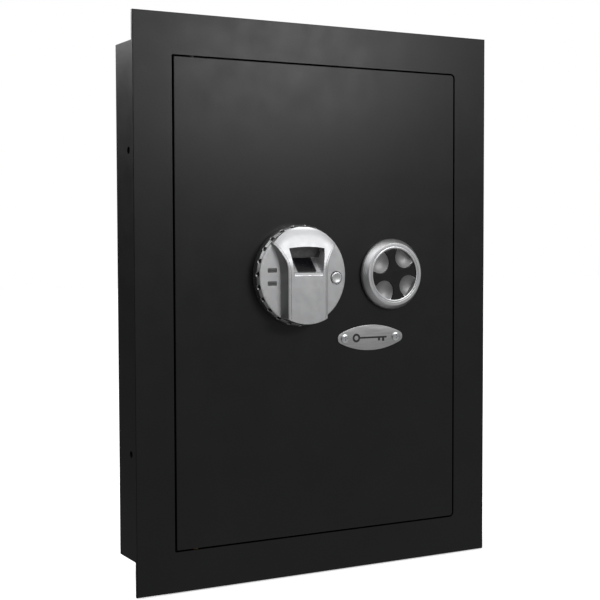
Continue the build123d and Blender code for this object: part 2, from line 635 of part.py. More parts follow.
def key_plug():
    plug = rod_y(KEY_X, KEY_Z, KEY_PLUG_R, FRONT + 0.1, 10.9)
    plug += block(KEY_X - 2.5, KEY_X + 2.5, 10.9, 13, KEY_Z - 2.5, KEY_Z + 2.5)
    keyway = block(KEY_X - 0.7, KEY_X + 0.7, FRONT - 1, 6, KEY_Z - 3.6, KEY_Z + 3.6)
    keyway += rod_y(KEY_X, KEY_Z + 1.8, 1.3, FRONT - 1, 6)
    return plug - keyway - rod_y(KEY_X, KEY_Z, 1.6, 7, 14)


def key_cam_screw():
    head = rod_y(KEY_X, KEY_Z, 4.2, 13.05, 15.2)
    return head + rod_y(KEY_X, KEY_Z, 1.55, 8, 13.05)


def key_cam():
    """Finger that pushes the solenoid plunger down by its collar when the key is turned."""
    cam = rod_y(KEY_X, KEY_Z, 6.5, 11, 13)
    cam += block(KEY_X - CAM_W / 2, KEY_X + CAM_W / 2, 11, 13, KEY_Z, KEY_Z + CAM_LEN)
    tip = cam.edges().filter_by(Axis.Y).group_by(Axis.Z)[-1]
    cam = fillet(tip, 2)
    return cam - block(KEY_X - 2.5, KEY_X + 2.5, 10, 14, KEY_Z - 2.5, KEY_Z + 2.5)


def cover_plate():
    """Oval plate over the keyhole: two long arcs joined by small end arcs."""
    a, b, end = PLATE_HALF_L, PLATE_HALF_H, PLATE_END_R
    long_r = ((a - end) ** 2 + b**2 - end**2) / (2 * (b - end))
    reach = long_r - end
    tx = (a - end) + end * (a - end) / reach
    tz = end * (long_r - b) / reach
    outline = [
        ThreePointArc((-tx, tz), (0, b), (tx, tz)),
        ThreePointArc((tx, tz), (a, 0), (tx, -tz)),
        ThreePointArc((tx, -tz), (0, -b), (-tx, -tz)),
        ThreePointArc((-tx, -tz), (-a, 0), (-tx, tz)),
    ]
    plate = extrude(front_plane(KEY_X, KEY_Z, FRONT) * make_face(outline), PLATE_T)
    plate = fillet(plate.faces().sort_by(Axis.Y)[0].edges(), 0.5)
    return plate - [rod_y(x, KEY_Z, 1.7, out(3), out(-1)) for x in plate_screw_places()]


def cover_plate_screws():
    seat = out(PLATE_T)
    return Compound([pan_screw(x, KEY_Z, 4.7, 1.7, 1.5, seat, 6, 1) for x in plate_screw_places()])


def reset_switch():
    x, z = RESET_X, RESET_Z
    body = rod_y(x, z, 5, BOARD_Y[1], CASE_Y1) + rod_y(x, z, 3.5, CASE_Y1, CASE_Y1 + COVER_T + 0.5)
    return body - rod_y(x, z, 2.6, 30, CASE_Y1 + 5)


def reset_button():
    x, z = RESET_X, RESET_Z
    cap = rod_y(x, z, 2.4, 31.2, CASE_Y1 + COVER_T + 1.8)
    return fillet(cap.edges().filter_by(GeomType.CIRCLE).sort_by(Axis.Y)[-1], 0.6)


def knob_body():
    """Silver ring and dish, with four round finger scoops in the floor of the dish."""
    skirt, face, floor = KNOB_Y - 2, KNOB_Y - KNOB_H, KNOB_Y - FLOOR_H
    bore_r = SPINDLE_R + RUNNING
    profile = [
        (bore_r, KNOB_Y), (KNOB_BASE_R - 0.6, KNOB_Y), (KNOB_BASE_R, KNOB_Y - 0.6),
        (KNOB_BASE_R, skirt), (KNOB_FACE_R + 0.9, face + 0.35), (KNOB_FACE_R, face),
        (KNOB_BOWL_R + 0.8, face), (KNOB_BOWL_R, face + 0.8), (KNOB_BOWL_R, floor), (bore_r, floor),
    ]
    body = turned(profile, KNOB_X, KNOB_Z)
    body -= rod_y(KNOB_X, KNOB_Z, SPINDLE_R + 0.1, floor - 1, KNOB_Y - SCREW_HEAD_H)
    ball_r = (SCOOP_R**2 + SCOOP_DEPTH**2) / (2 * SCOOP_DEPTH)
    ball_y = floor + SCOOP_DEPTH - ball_r
    dish = rod_y(KNOB_X, KNOB_Z, KNOB_BOWL_R - 0.3, floor - 20, 0)
    return body - [Pos(x, ball_y, z) * Sphere(ball_r) & dish for x, z in scoop_places()]


def scoop_places():
    return [
        (KNOB_X + SCOOP_OFF * math.cos(a), KNOB_Z + SCOOP_OFF * math.sin(a))
        for a in (math.radians(KNOB_REST + 45 + 90 * k) for k in range(4))
    ]


def knob_grip():
    """Black four-armed inlay on the floor of the dish, cut away round the four scoops."""
    floor = KNOB_Y - FLOOR_H
    disc = rod_y(KNOB_X, KNOB_Z, KNOB_BOWL_R - 0.1, floor - GRIP_T, floor)
    disc -= [rod_y(x, z, SCOOP_R, floor - 5, floor + 5) for x, z in scoop_places()]
    return fillet(disc.faces().sort_by(Axis.Y)[0].edges(), 0.4)


def knob_spindle():
    """Spindle with a circlip groove behind the bush and a square for the crank."""
    clip_y = BACK + 7.1
    spindle = rod_y(KNOB_X, KNOB_Z, SPINDLE_R, KNOB_Y - SCREW_HEAD_H + 0.1, CRANK_Y0)
    spindle += block(KNOB_X - 3.5, KNOB_X + 3.5, CRANK_Y0, CRANK_Y1 + 0.5, KNOB_Z - 3.5, KNOB_Z + 3.5)
    groove = rod_y(KNOB_X, KNOB_Z, SPINDLE_R + 1, clip_y, clip_y + 1.2)
    groove -= rod_y(KNOB_X, KNOB_Z, SPINDLE_R - 0.6, clip_y - 1, clip_y + 2)
    return spindle - groove - rod_y(KNOB_X, KNOB_Z, 2.5, KNOB_Y - 5, KNOB_Y + 9)


def knob_screw():
    """Axial screw, under the grip, that clamps the knob to its spindle."""
    seat = KNOB_Y - SCREW_HEAD_H
    screw = rod_y(KNOB_X, KNOB_Z, SPINDLE_R - 0.4, seat - 2.4, seat)
    return screw + rod_y(KNOB_X, KNOB_Z, 2.45, seat, KNOB_Y + 8)


def spindle_clip():
    y0 = BACK + 7.2
    clip = rod_y(KNOB_X, KNOB_Z, 8, y0, y0 + 1) - rod_y(KNOB_X, KNOB_Z, SPINDLE_R - 0.55, y0 - 1, y0 + 2)
    return clip - block(KNOB_X - 2.6, KNOB_X + 2.6, y0 - 1, y0 + 2, KNOB_Z, KNOB_Z + 9)


def crank_pin_place():
    """At rest the pin is below the spindle and to its left, where it holds the bolts drawn."""
    lean = math.radians(KNOB_TURN / 2)
    return KNOB_X - CRANK_R * math.sin(lean), KNOB_Z - CRANK_R * math.cos(lean)


def crank_plate():
    px, pz = crank_pin_place()
    crank = rod_y(KNOB_X, KNOB_Z, 8, CRANK_Y0, CRANK_Y1) + rod_y(px, pz, 5, CRANK_Y0, CRANK_Y1)
    web = Box(9, CRANK_Y1 - CRANK_Y0, CRANK_R)
    mid = Pos((KNOB_X + px) / 2, (CRANK_Y0 + CRANK_Y1) / 2, (KNOB_Z + pz) / 2)
    crank += mid * Rot(0, KNOB_TURN / 2, 0) * web
    crank += rod_y(px, pz, CRANK_PIN_R, PLATE_Y0 - 1, CRANK_Y0)
    return crank - block(KNOB_X - 3.5, KNOB_X + 3.5, 24, 30, KNOB_Z - 3.5, KNOB_Z + 3.5)


def bolt_carriage():
    """Bent plate that ties the three bolts together, driven by the crank pin in its slot."""
    z0, z1 = BOLT_Z[0] - 12, BOLT_Z[2] + 12
    px, _ = crank_pin_place()
    plate = block(80, BOLT_X0, PLATE_Y0, PLATE_Y1, z0, z1)
    plate += block(BOLT_X0 - 3, BOLT_X0, 4, PLATE_Y0, z0, z1)
    plate += block(62, 80, PLATE_Y0, PLATE_Y1, 2, 20)
    lug_x1 = PLUNGER_X + PLUNGER_R + 0.4 + 4 - THROW
    lug = block(lug_x1 - 4, lug_x1, PLUNGER_Y + 1.5, PLATE_Y0, LUG_Z0, LUG_Z1)
    plate += chamfer(lug.edges().filter_by(Axis.Y).group_by(Axis.X)[-1].sort_by(Axis.Z)[0], 3.5)
    slot_hw = CRANK_PIN_R + 0.35
    slot_low = KNOB_Z - CRANK_R - CRANK_PIN_R - 0.5
    slot_high = crank_pin_place()[1] + CRANK_PIN_R + 0.5
    plate -= block(px - slot_hw, px + slot_hw, 20, 25, slot_low, slot_high)
    plate -= block(79, KNOB_X + SPINDLE_R + 1.5, 20, 25, KNOB_Z - 6, KNOB_Z + 6.5)
    for z in STUD_Z:
        plate -= block(STUD_X - THROW, STUD_X, 20, 25, z - 3.3, z + 3.3)
        plate -= [rod_y(x, z, 3.3, 20, 25) for x in (STUD_X - THROW, STUD_X)]
    return plate - [rod_x(BOLT_Y, z, 3.1, 115, 122) for z in BOLT_Z]


def locking_bolts():
    bolts = []
    for z in BOLT_Z:
        bolt = rod_x(BOLT_Y, z, BOLT_R, BOLT_X0, BOLT_X1)
        bolt = fillet(bolt.edges().filter_by(GeomType.CIRCLE).sort_by(Axis.X)[-1], 1.2)
        bolts.append(bolt - rod_x(BOLT_Y, z, 3, BOLT_X0 - 1, BOLT_X0 + 12))
    return Compound(bolts)


def bolt_screws():
    screws = []
    for z in BOLT_Z:
        head = rod_x(BOLT_Y, z, 4.8, BOLT_X0 - 6.5, BOLT_X0 - 3)
        screws.append(head + rod_x(BOLT_Y, z, 2.95, BOLT_X0 - 3, BOLT_X0 + 11))
    return Compound(screws)


NODES = {
    "front_flange": front_flange,
    "body_tray": body_tray,
    "hinge_blocks": hinge_blocks,
    "hinge_pins": hinge_pins,
    "hinge_washer": hinge_washer,
    "strike_bar": strike_bar,
    "door_stops": door_stops,
    "door_stop_pads": door_stop_pads,
    "shelf_lower": lambda: shelf(SHELF_Z[0]),
    "shelf_upper": lambda: shelf(SHELF_Z[1]),
    "shelf_brackets": shelf_brackets,
    "floor_mat": floor_mat,
    "door_panel": door_panel,
    "hinge_knuckles": hinge_knuckles,
    "lock_case": lock_case,
    "bolt_bushes": bolt_bushes,
    "inner_cover": inner_cover,
    "inner_cover_screws": inner_cover_screws,
    "guide_studs": guide_studs,
    "knob_bush": knob_bush,
    "knob_bush_nut": lambda: hex_nut(KNOB_X, KNOB_Z, 22, 8.02, BACK, BACK + 5),
    "knob_washer": knob_washer,
    "scanner_ring": scanner_ring,
    "scanner_face": scanner_face,
    "sensor_glass": sensor_glass,
    "led_lenses": led_lenses,
    "scanner_pcb": scanner_pcb,
    "scanner_screws": scanner_screws,
    "scanner_cable": scanner_cable,
    "control_board": control_board,
    "board_standoffs": board_standoffs,
    "battery_holder": battery_holder,
    "battery_holder_feet": lambda: Compound(holder_feet()),
    "battery_cells": battery_cells,
    "battery_cover": battery_cover,
    "solenoid_frame": solenoid_frame,
    "solenoid_coil": solenoid_coil,
    "solenoid_plunger": solenoid_plunger,
    "plunger_spring": plunger_spring,
    "start_button": start_button,
    "button_spring": button_spring,
    "key_cylinder": key_cylinder,
    "key_cylinder_nut": lambda: hex_nut(KEY_X, KEY_Z, 22, KEY_BARREL_R + 0.02, BACK, BACK + 4),
    "key_plug": key_plug,
    "key_cam": key_cam,
    "key_cam_screw": key_cam_screw,
    "cover_plate": cover_plate,
    "cover_plate_screws": cover_plate_screws,
    "reset_switch": reset_switch,
    "reset_button": reset_button,
    "knob_body": knob_body,
    "knob_grip": knob_grip,
    "knob_screw": knob_screw,
    "knob_spindle": knob_spindle,
    "spindle_clip": spindle_clip,
    "crank_plate": crank_plate,
    "bolt_carriage": bolt_carriage,
    "locking_bolts": locking_bolts,
    "bolt_screws": bolt_screws,
}

os.makedirs("parts", exist_ok=True)
for name, make in NODES.items():
    export_step(make(), f"parts/{name}.step")
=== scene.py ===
"""Looks of the wall safe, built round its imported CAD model. Metres, in the CAD frame."""
import json
import math

import bmesh
import bpy
from mathutils import Matrix, Vector


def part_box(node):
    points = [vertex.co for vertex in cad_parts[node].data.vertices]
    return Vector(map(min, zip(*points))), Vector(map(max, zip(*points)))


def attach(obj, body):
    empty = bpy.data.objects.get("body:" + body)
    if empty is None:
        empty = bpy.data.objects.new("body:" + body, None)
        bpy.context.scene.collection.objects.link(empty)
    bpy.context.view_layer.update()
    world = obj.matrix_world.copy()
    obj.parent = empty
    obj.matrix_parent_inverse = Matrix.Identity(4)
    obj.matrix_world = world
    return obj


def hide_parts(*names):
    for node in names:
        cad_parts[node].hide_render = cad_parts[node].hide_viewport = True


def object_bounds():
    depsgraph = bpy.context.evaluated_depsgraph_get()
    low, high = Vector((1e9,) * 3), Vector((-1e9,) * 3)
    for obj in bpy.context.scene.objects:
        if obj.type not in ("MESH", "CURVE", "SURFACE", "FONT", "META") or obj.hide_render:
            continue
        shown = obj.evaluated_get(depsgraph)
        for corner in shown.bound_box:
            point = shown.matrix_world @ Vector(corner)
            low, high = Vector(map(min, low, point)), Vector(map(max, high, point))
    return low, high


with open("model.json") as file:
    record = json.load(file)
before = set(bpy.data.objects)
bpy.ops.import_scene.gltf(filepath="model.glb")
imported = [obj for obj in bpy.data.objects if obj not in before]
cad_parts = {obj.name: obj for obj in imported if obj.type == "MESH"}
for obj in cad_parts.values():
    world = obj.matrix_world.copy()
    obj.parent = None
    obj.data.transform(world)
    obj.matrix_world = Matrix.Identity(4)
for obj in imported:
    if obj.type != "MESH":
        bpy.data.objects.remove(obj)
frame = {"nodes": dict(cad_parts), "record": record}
cad_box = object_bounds()

MM = 0.001
MIX_FIRST, MIX_SECOND, MIX_RESULT = 6, 7, 2  # the colour sockets of a Mix node
SLOT_OF = {s["node"]: s["material_slot"] for s in frame["record"]["subparts"]}


# ---- shader helpers ---------------------------------------------------------------------------
class Maker:
    """Builds one Principled material whose detail comes from procedural textures."""

    def __init__(self, name, **sockets):
        self.name = name
        self.mat = bpy.data.materials.new(name)
        self.mat.use_nodes = True
        self.tree = self.mat.node_tree
        self.bsdf = self.tree.nodes["Principled BSDF"]
        self.coords = self.node("ShaderNodeTexCoord").outputs["Object"]
        self.bump_end = None
        for socket, value in sockets.items():
            self.set(socket.title(), value)

    def set(self, socket, value):
        self.bsdf.inputs[socket].default_value = value

    def node(self, kind, **settings):
        new = self.tree.nodes.new(kind)
        for key, value in settings.items():
            setattr(new, key, value)
        return new

    def link(self, out, into):
        self.tree.links.new(out, into)

    def stretched(self, factors):
        """Object coordinates, each axis multiplied by its factor."""
        mapping = self.node("ShaderNodeMapping")
        mapping.inputs["Scale"].default_value = factors
        self.link(self.coords, mapping.inputs["Vector"])
        return mapping.outputs["Vector"]

    def noise(self, scale, detail=3.0, rough=0.5, stretch=None):
        """Noise with scale features per metre, drawn out along the axes whose stretch is small."""
        noise = self.node("ShaderNodeTexNoise")
        noise.inputs["Scale"].default_value = scale
        noise.inputs["Detail"].default_value = detail
        noise.inputs["Roughness"].default_value = rough
        self.link(self.stretched(stretch) if stretch else self.coords, noise.inputs["Vector"])
        return noise.outputs["Fac"]

    def remap(self, value, low, high, start=0.3, stop=0.7):
        """Goes from low to high as value goes from start to stop, by default the usual range of a noise."""
        mapped = self.node("ShaderNodeMapRange")
        mapped.inputs["From Min"].default_value = start
        mapped.inputs["From Max"].default_value = stop
        mapped.inputs["To Min"].default_value = low
        mapped.inputs["To Max"].default_value = high
        self.link(value, mapped.inputs["Value"])
        return mapped.outputs["Result"]

    def math(self, operation, a, b=None):
        """The result of an operation on a and b, each a number or a socket."""
        step = self.node("ShaderNodeMath", operation=operation)
        for socket, value in zip(step.inputs, (a, b)):
            if value is None:
                continue
            if isinstance(value, (int, float)):
                socket.default_value = value
            else:
                self.link(value, socket)
        return step.outputs["Value"]

    def blend(self, factor, first, second):
        """A colour between first and second. Each is a colour or a socket."""
        mix = self.node("ShaderNodeMix", data_type="RGBA")
        self.link(factor, mix.inputs["Factor"])
        for socket, value in ((mix.inputs[MIX_FIRST], first), (mix.inputs[MIX_SECOND], second)):
            if isinstance(value, tuple):
                socket.default_value = (*value, 1.0)
            else:
                self.link(value, socket)
        return mix.outputs[MIX_RESULT]

    def color(self, out):
        self.link(out, self.bsdf.inputs["Base Color"])

    def roughness(self, out):
        self.link(out, self.bsdf.inputs["Roughness"])

    def bump(self, height, strength, distance):
        """Adds a bump on top of those made before it."""
        bump = self.node("ShaderNodeBump")
        bump.inputs["Strength"].default_value = strength
        bump.inputs["Distance"].default_value = distance
        self.link(height, bump.inputs["Height"])
        if self.bump_end is not None:
            self.link(self.bump_end, bump.inputs["Normal"])
        self.bump_end = bump.outputs["Normal"]
        self.link(self.bump_end, self.bsdf.inputs["Normal"])

    def axis(self, name):
        split = self.node("ShaderNodeSeparateXYZ")
        self.link(self.coords, split.inputs["Vector"])
        return split.outputs[name]


# name: dark and light colour, roughness, patches per metre, grains per metre, grain height, metallic
SILVER_FLAKE = (60, 5200, 0.000006)
MOTTLED = {
    "zinc_steel": ((0.5, 0.515, 0.54), (0.66, 0.665, 0.67), (0.24, 0.4), 160, 2600, 0.00001, 1),
    "silver_plastic": ((0.63, 0.635, 0.645), (0.67, 0.672, 0.68), (0.32, 0.38), *SILVER_FLAKE, 0.93),
    # ring_silver: the housing's silver made glossier, and darker in colour as painted shade
    "ring_silver": ((0.52, 0.524, 0.53), (0.58, 0.584, 0.59), (0.21, 0.28), *SILVER_FLAKE, 0.95),
    # shaded_silver: a darker copy of silver_plastic, painted shade on the housing's side walls
    "shaded_silver": ((0.36, 0.363, 0.37), (0.41, 0.413, 0.42), (0.32, 0.38), *SILVER_FLAKE, 0.9),
    "moulded_silver": ((0.31, 0.31, 0.315), (0.36, 0.36, 0.365), (0.48, 0.54), 60, 4200, 0.00001, 0.8),
    "black_plastic": ((0.012, 0.012, 0.0125), (0.02, 0.02, 0.021), (0.42, 0.55), 80, 3500, 0.00003),
    "smoke_plastic": ((0.1, 0.1, 0.102), (0.14, 0.14, 0.143), (0.25, 0.35), 260, 2400, 0.00001),
    "red_plastic": ((0.32, 0.012, 0.01), (0.42, 0.02, 0.014), (0.2, 0.3), 200, 1600, 0.00001),
    "nylon": ((0.6, 0.585, 0.52), (0.7, 0.69, 0.63), (0.4, 0.52), 120, 1500, 0.00002),
    "rubber": ((0.01, 0.01, 0.01), (0.02, 0.02, 0.02), (0.7, 0.85), 200, 2600, 0.00005),
    "cable_black": ((0.008, 0.008, 0.008), (0.016, 0.016, 0.016), (0.5, 0.62), 300, 1800, 0.00003),
}
# name: dark and light colour, roughness, and a factor for each axis, small along the brush marks
BRUSHED = {
    "spring_steel": ((0.38, 0.38, 0.4), (0.52, 0.52, 0.54), (0.22, 0.34), (1, 1, 0.1)),
    "bolt_chrome": ((0.68, 0.69, 0.7), (0.78, 0.79, 0.8), (0.08, 0.16), (1, 0.05, 0.05)),
    "brass": ((0.3, 0.21, 0.09), (0.42, 0.31, 0.15), (0.32, 0.46), (1, 0.1, 1)),
    "key_chrome": ((0.58, 0.59, 0.6), (0.72, 0.72, 0.73), (0.12, 0.22), (1, 0.1, 1)),
    "plate_metal": ((0.47, 0.47, 0.475), (0.58, 0.58, 0.585), (0.3, 0.4), (0.06, 1, 1)),
}
GLOSS_PATCHES = 2.7  # patches of gloss, for each patch of colour
MARKS, GLOSS_MARKS, MARK_DEPTH = 1400, 500, 0.00001  # brush marks per metre, and their depth
HOOD_MATT = 0.16  # roughness that the hood gains from the finger window's sill to its top


def mottled(name, dark, light, rough, scale, grain, grain_height, metallic=0):
    """Two close colours in soft patches, varied gloss and a fine grain in the surface."""
    m = Maker(name, metallic=metallic)
    m.color(m.blend(m.remap(m.noise(scale, 4.0), 0, 1), dark, light))
    m.roughness(m.remap(m.noise(scale * GLOSS_PATCHES), *rough))
    m.bump(m.noise(grain, 2.0), 0.5, grain_height)
    return m


def brushed(name, dark, light, rough, stretch):
    """Bare metal with fine marks in one direction."""
    m = Maker(name, metallic=1)
    streaks = m.noise(MARKS, 3.0, 0.6, stretch)
    m.color(m.blend(m.remap(streaks, 0, 1), dark, light))
    m.roughness(m.remap(m.noise(GLOSS_MARKS, 3.0, 0.5, stretch), *rough))
    m.bump(streaks, 0.25, MARK_DEPTH)
    return m


def powder_coat():
    """Satin black powder coat: fine orange peel with a few dust nibs."""
    dark, light = (0.0042, 0.0043, 0.0045), (0.006, 0.0061, 0.0064)
    m = mottled("powder_coat", dark, light, (0.33, 0.38), 14, 700, 0.00006)
    m.bump(m.remap(m.noise(2400, 1.0), 0, 1, 0.62, 0.8), 0.25, 0.00004)
    m.set("Specular IOR Level", 0.36)
    return m


def hood_silver():
    """The housing's silver, growing matt from the finger window's sill upwards."""
    look = MOTTLED["silver_plastic"]
    m = mottled("hood_silver", *look)
    rough, patches = look[2:4]
    low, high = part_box("sensor_glass")
    rise = m.math("MULTIPLY", m.remap(m.axis("Z"), 0, 1, low[2], high[2]), HOOD_MATT)
    m.roughness(m.math("ADD", m.remap(m.noise(patches * GLOSS_PATCHES), *rough), rise))
    return m


def black_gloss():
    """Polished black plastic under a thin clear coat."""
    dark, light = (0.004, 0.004, 0.0045), (0.008, 0.008, 0.0085)
    m = mottled("black_gloss", dark, light, (0.12, 0.2), 90, 900, 0.000008)
    m.set("Specular IOR Level", 0.4)
    m.set("Coat Weight", 0.2)
    m.set("Coat Roughness", 0.08)
    return m


def felt():
    """Dark grey felt with a soft nap."""
    m = mottled("felt", (0.012, 0.012, 0.014), (0.03, 0.03, 0.034), (0.92, 1.0), 120, 1900, 0.0004)
    m.bump(m.noise(5200, 2.0, 0.7), 0.5, 0.0002)
    m.set("Sheen Weight", 0.35)
    m.set("Sheen Roughness", 0.6)
    return m


def board_green():
    """Solder mask over copper tracks, which run across the board's face."""
    m = Maker("board_green")
    tracks = m.node("ShaderNodeTexBrick")
    tracks.inputs["Scale"].default_value = 90
    tracks.inputs["Mortar Size"].default_value = 0.07
    upright = m.node("ShaderNodeMapping")
    upright.inputs["Rotation"].default_value = (math.pi / 2, 0, 0)
    m.link(m.coords, upright.inputs["Vector"])
    m.link(upright.outputs["Vector"], tracks.inputs["Vector"])
    m.color(m.blend(tracks.outputs["Fac"], (0.008, 0.075, 0.03), (0.016, 0.14, 0.05)))
    m.roughness(m.remap(m.noise(300), 0.22, 0.4))
    m.bump(tracks.outputs["Fac"], 0.4, 0.00004)
    return m


CELL_BAND, BAND_FADE = 0.0165, 0.001  # metres: how far down a cell the band reaches, and how its edge fades


def cell_label():
    """Printed sleeve: a dark body under a brass-coloured band."""
    m = Maker("cell_label", metallic=0.35)
    wave = m.node("ShaderNodeTexNoise")
    wave.inputs["Scale"].default_value = 900
    m.link(m.coords, wave.inputs["Vector"])
    body = m.blend(wave.outputs["Fac"], (0.01, 0.012, 0.016), (0.02, 0.022, 0.03))
    band_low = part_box("battery_cells")[1][2] - CELL_BAND
    band = m.remap(m.axis("Z"), 0, 1, band_low, band_low + BAND_FADE)
    m.color(m.blend(band, body, (0.42, 0.24, 0.07)))
    m.roughness(m.remap(wave.outputs["Fac"], 0.25, 0.4))
    return m


COIL_PITCH = 0.0006  # metres from turn to turn


def copper():
    """Enamelled winding: close turns seen as fine rings, in relief and in colour; the colour darkens between
    turns as painted shade.
    """
    m = Maker("copper", metallic=0.9)
    rings = m.math("SINE", m.math("MULTIPLY", m.axis("Z"), 2 * math.pi / COIL_PITCH))
    # Dark copper between the turns is painted shade
    m.color(m.blend(m.remap(rings, 0, 1, -1, 1), (0.16, 0.045, 0.015), (0.62, 0.26, 0.1)))
    m.roughness(m.remap(m.noise(800), 0.25, 0.4))
    m.bump(rings, 0.5, 0.0001)
    return m


def sensor_glass():
    """Nearly black coated glass."""
    dark, light = (0.002, 0.002, 0.003), (0.006, 0.006, 0.008)
    m = mottled("sensor_glass", dark, light, (0.2, 0.3), 200, 900, 0.000004)
    m.set("Specular IOR Level", 0.25)
    return m


# Every finish is used under its own name.
makers = [mottled(name, *look) for name, look in MOTTLED.items()]
makers += [brushed(name, *look) for name, look in BRUSHED.items()]
makers += [powder_coat(), hood_silver(), black_gloss(), felt()]
makers += [board_green(), cell_label(), copper(), sensor_glass()]
finishes = {maker.name: maker.mat for maker in makers}


def paint(obj, mat):
    """Gives an object this one material."""
    obj.data.materials.clear()
    obj.data.materials.append(mat)


for name, obj in frame["nodes"].items():
    paint(obj, finishes[SLOT_OF[name]])


# ---- mesh helpers, in millimetres: x right, out of the door, z up, from a centre ---------------------
def mm_box(node):
    """The low and high corner of a CAD node's box, in millimetres."""
    low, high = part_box(node)
    return [1000 * v for v in low], [1000 * v for v in high]


def middle(node, axis):
    """The middle of that box along one axis."""
    low, high = mm_box(node)
    return (low[axis] + high[axis]) / 2


DOOR_Y = mm_box("door_panel")[0][1]
SHARP = 32  # degrees that an edge turns by, from which it stays sharp
ROUNDING = (0, 0.4, 0.8, 1.2, math.pi / 2)  # turns of a plate's rounded edge, in radians
CORNER_POINTS = 8


class Mesh:
    """Collects points and faces in millimetres, then makes one finished piece of them."""

    def __init__(self, place):
        """place maps a point (x, height over the door, z) about a centre to the CAD frame."""
        self.bm = bmesh.new()
        self.place = place

    def point(self, p):
        return self.bm.verts.new([MM * v for v in self.place(*p)])

    def row(self, points):
        return [self.point(p) for p in points]

    def face(self, corners):
        if len(set(corners)) >= 3:
            self.bm.faces.new(corners)

    def skin(self, rows, around=False, along=False):
        """Quads between rows of points. around closes each row, along joins the last row to the first."""
        loops = [self.row(r) for r in rows]
        loops += loops[:1] if along else []
        for first, second in zip(loops, loops[1:]):
            count = len(first)
            for i in range(count if around else count - 1):
                j = (i + 1) % count
                self.face((first[i], first[j], second[j], second[i]))

    def lathe(self, profile, count, centre=(0, 0)):
        """Turns (radius, height) points about the outward axis through centre."""
        rows = []
        for k in range(count):
            a = 2 * math.pi * k / count
            rows.append([(centre[0] + r * math.cos(a), h, centre[1] + r * math.sin(a)) for r, h in profile])
        self.skin(rows, along=True)

    def prism(self, outline, low, high, edge=0.0):
        """A plate from an (x, z) outline, whose front edge is rounded with a radius of edge."""
        levels = [(0, low)]
        for t in ROUNDING if edge else ROUNDING[-1:]:
            levels.append((edge * (1 - math.cos(t)), high - edge * (1 - math.sin(t))))
        normals = []
        for (x0, z0), (x1, z1) in zip(outline[-1:] + outline[:-1], outline[1:] + outline[:1]):
            dx, dz = x1 - x0, z1 - z0
            size = math.hypot(dx, dz) or 1
            normals.append((-dz / size, dx / size))
        rings = [
            self.row([(x + n[0] * inset, h, z + n[1] * inset) for (x, z), n in zip(outline, normals)])
            for inset, h in levels
        ]
        for first, second in zip(rings, rings[1:]):
            for i in range(len(outline)):
                j = (i + 1) % len(outline)
                self.face((first[i], first[j], second[j], second[i]))
        self.face(rings[-1])
        self.face(list(reversed(rings[0])))

    def cutter(self):
        """The collected shape as a loose mesh object, to be cut away from a piece."""
        return self.finish_object("cutter", SHARP)

    def finish_object(self, name, sharp):
        """Welds the points, turns all faces outwards and makes an object of them."""
        bmesh.ops.remove_doubles(self.bm, verts=self.bm.verts, dist=0.00001)
        bmesh.ops.dissolve_degenerate(self.bm, edges=self.bm.edges, dist=0.000001)
        bmesh.ops.recalc_face_normals(self.bm, faces=self.bm.faces)
        data = bpy.data.meshes.new(name)
        self.bm.to_mesh(data)
        self.bm.free()
        smooth(data, sharp)
        obj = bpy.data.objects.new(name, data)
        bpy.context.scene.collection.objects.link(obj)
        return obj

    def piece(self, name, body, slot_name, replaced=(), extra=(), cutters=(), sharp=SHARP):
        """Finishes a piece, takes the cutters out of it, hangs it on its body's empty and hides the CAD
        parts it replaces.
        """
        obj = self.finish_object(name, sharp)
        for slot_used in (slot_name, *extra):
            obj.data.materials.append(finishes[slot_used])
        for cutter in cutters:
            cut = obj.modifiers.new("cut", "BOOLEAN")
            cut.operation = "DIFFERENCE"
            cut.solver = "EXACT"
            cut.object = cutter
        if cutters:
            bpy.context.view_layer.update()
            cut_object = obj.evaluated_get(bpy.context.evaluated_depsgraph_get())
            shape = bpy.data.meshes.new_from_object(cut_object)
            obj.modifiers.clear()
            obj.data = shape
            smooth(shape, sharp)
            for cutter in cutters:
                bpy.data.objects.remove(cutter)
        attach(obj, body)
        if replaced:
            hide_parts(*replaced)
        return obj


def smooth(data, degrees):
    """Smooth shading, apart from edges that turn by more than this."""
    data.polygons.foreach_set("use_smooth", [True] * len(data.polygons))
    data.set_sharp_from_angle(angle=math.radians(degrees))


def facing_out(cx, cz, base=DOOR_Y):
    """Heights are measured from the plane y = base, towards the room."""
    return lambda x, h, z: (cx + x, base - h, cz + z)


def arc(cx, cz, r, a0, a1, count):
    """Points on a circle from angle a0 to a1 in degrees, both ends included."""
    turns = [math.radians(a0 + (a1 - a0) * k / (count - 1)) for k in range(count)]
    return [(cx + r * math.cos(t), cz + r * math.sin(t)) for t in turns]


def rounded_bar(half_x, half_z, r, cx=0, cz=0):
    """The outline of a bar about (cx, cz), whose corners are arcs of radius r."""
    corners = ((half_x, half_z, 0), (-half_x, half_z, 90), (-half_x, -half_z, 180), (half_x, -half_z, 270))
    points = []
    for x, z, a in corners:
        inner_x, inner_z = x - math.copysign(r, x), z - math.copysign(r, z)
        points += arc(cx + inner_x, cz + inner_z, r, a, a + 90, CORNER_POINTS)
    return points


def ease(t):
    """A smooth step from 0 to 1 while t goes from 0 to 1."""
    t = min(1, max(0, t))
    return t * t * (3 - 2 * t)


def ramp(value, start, stop):
    """A smooth step from 0 to 1 while value goes from start to stop."""
    return ease((value - start) / (stop - start))


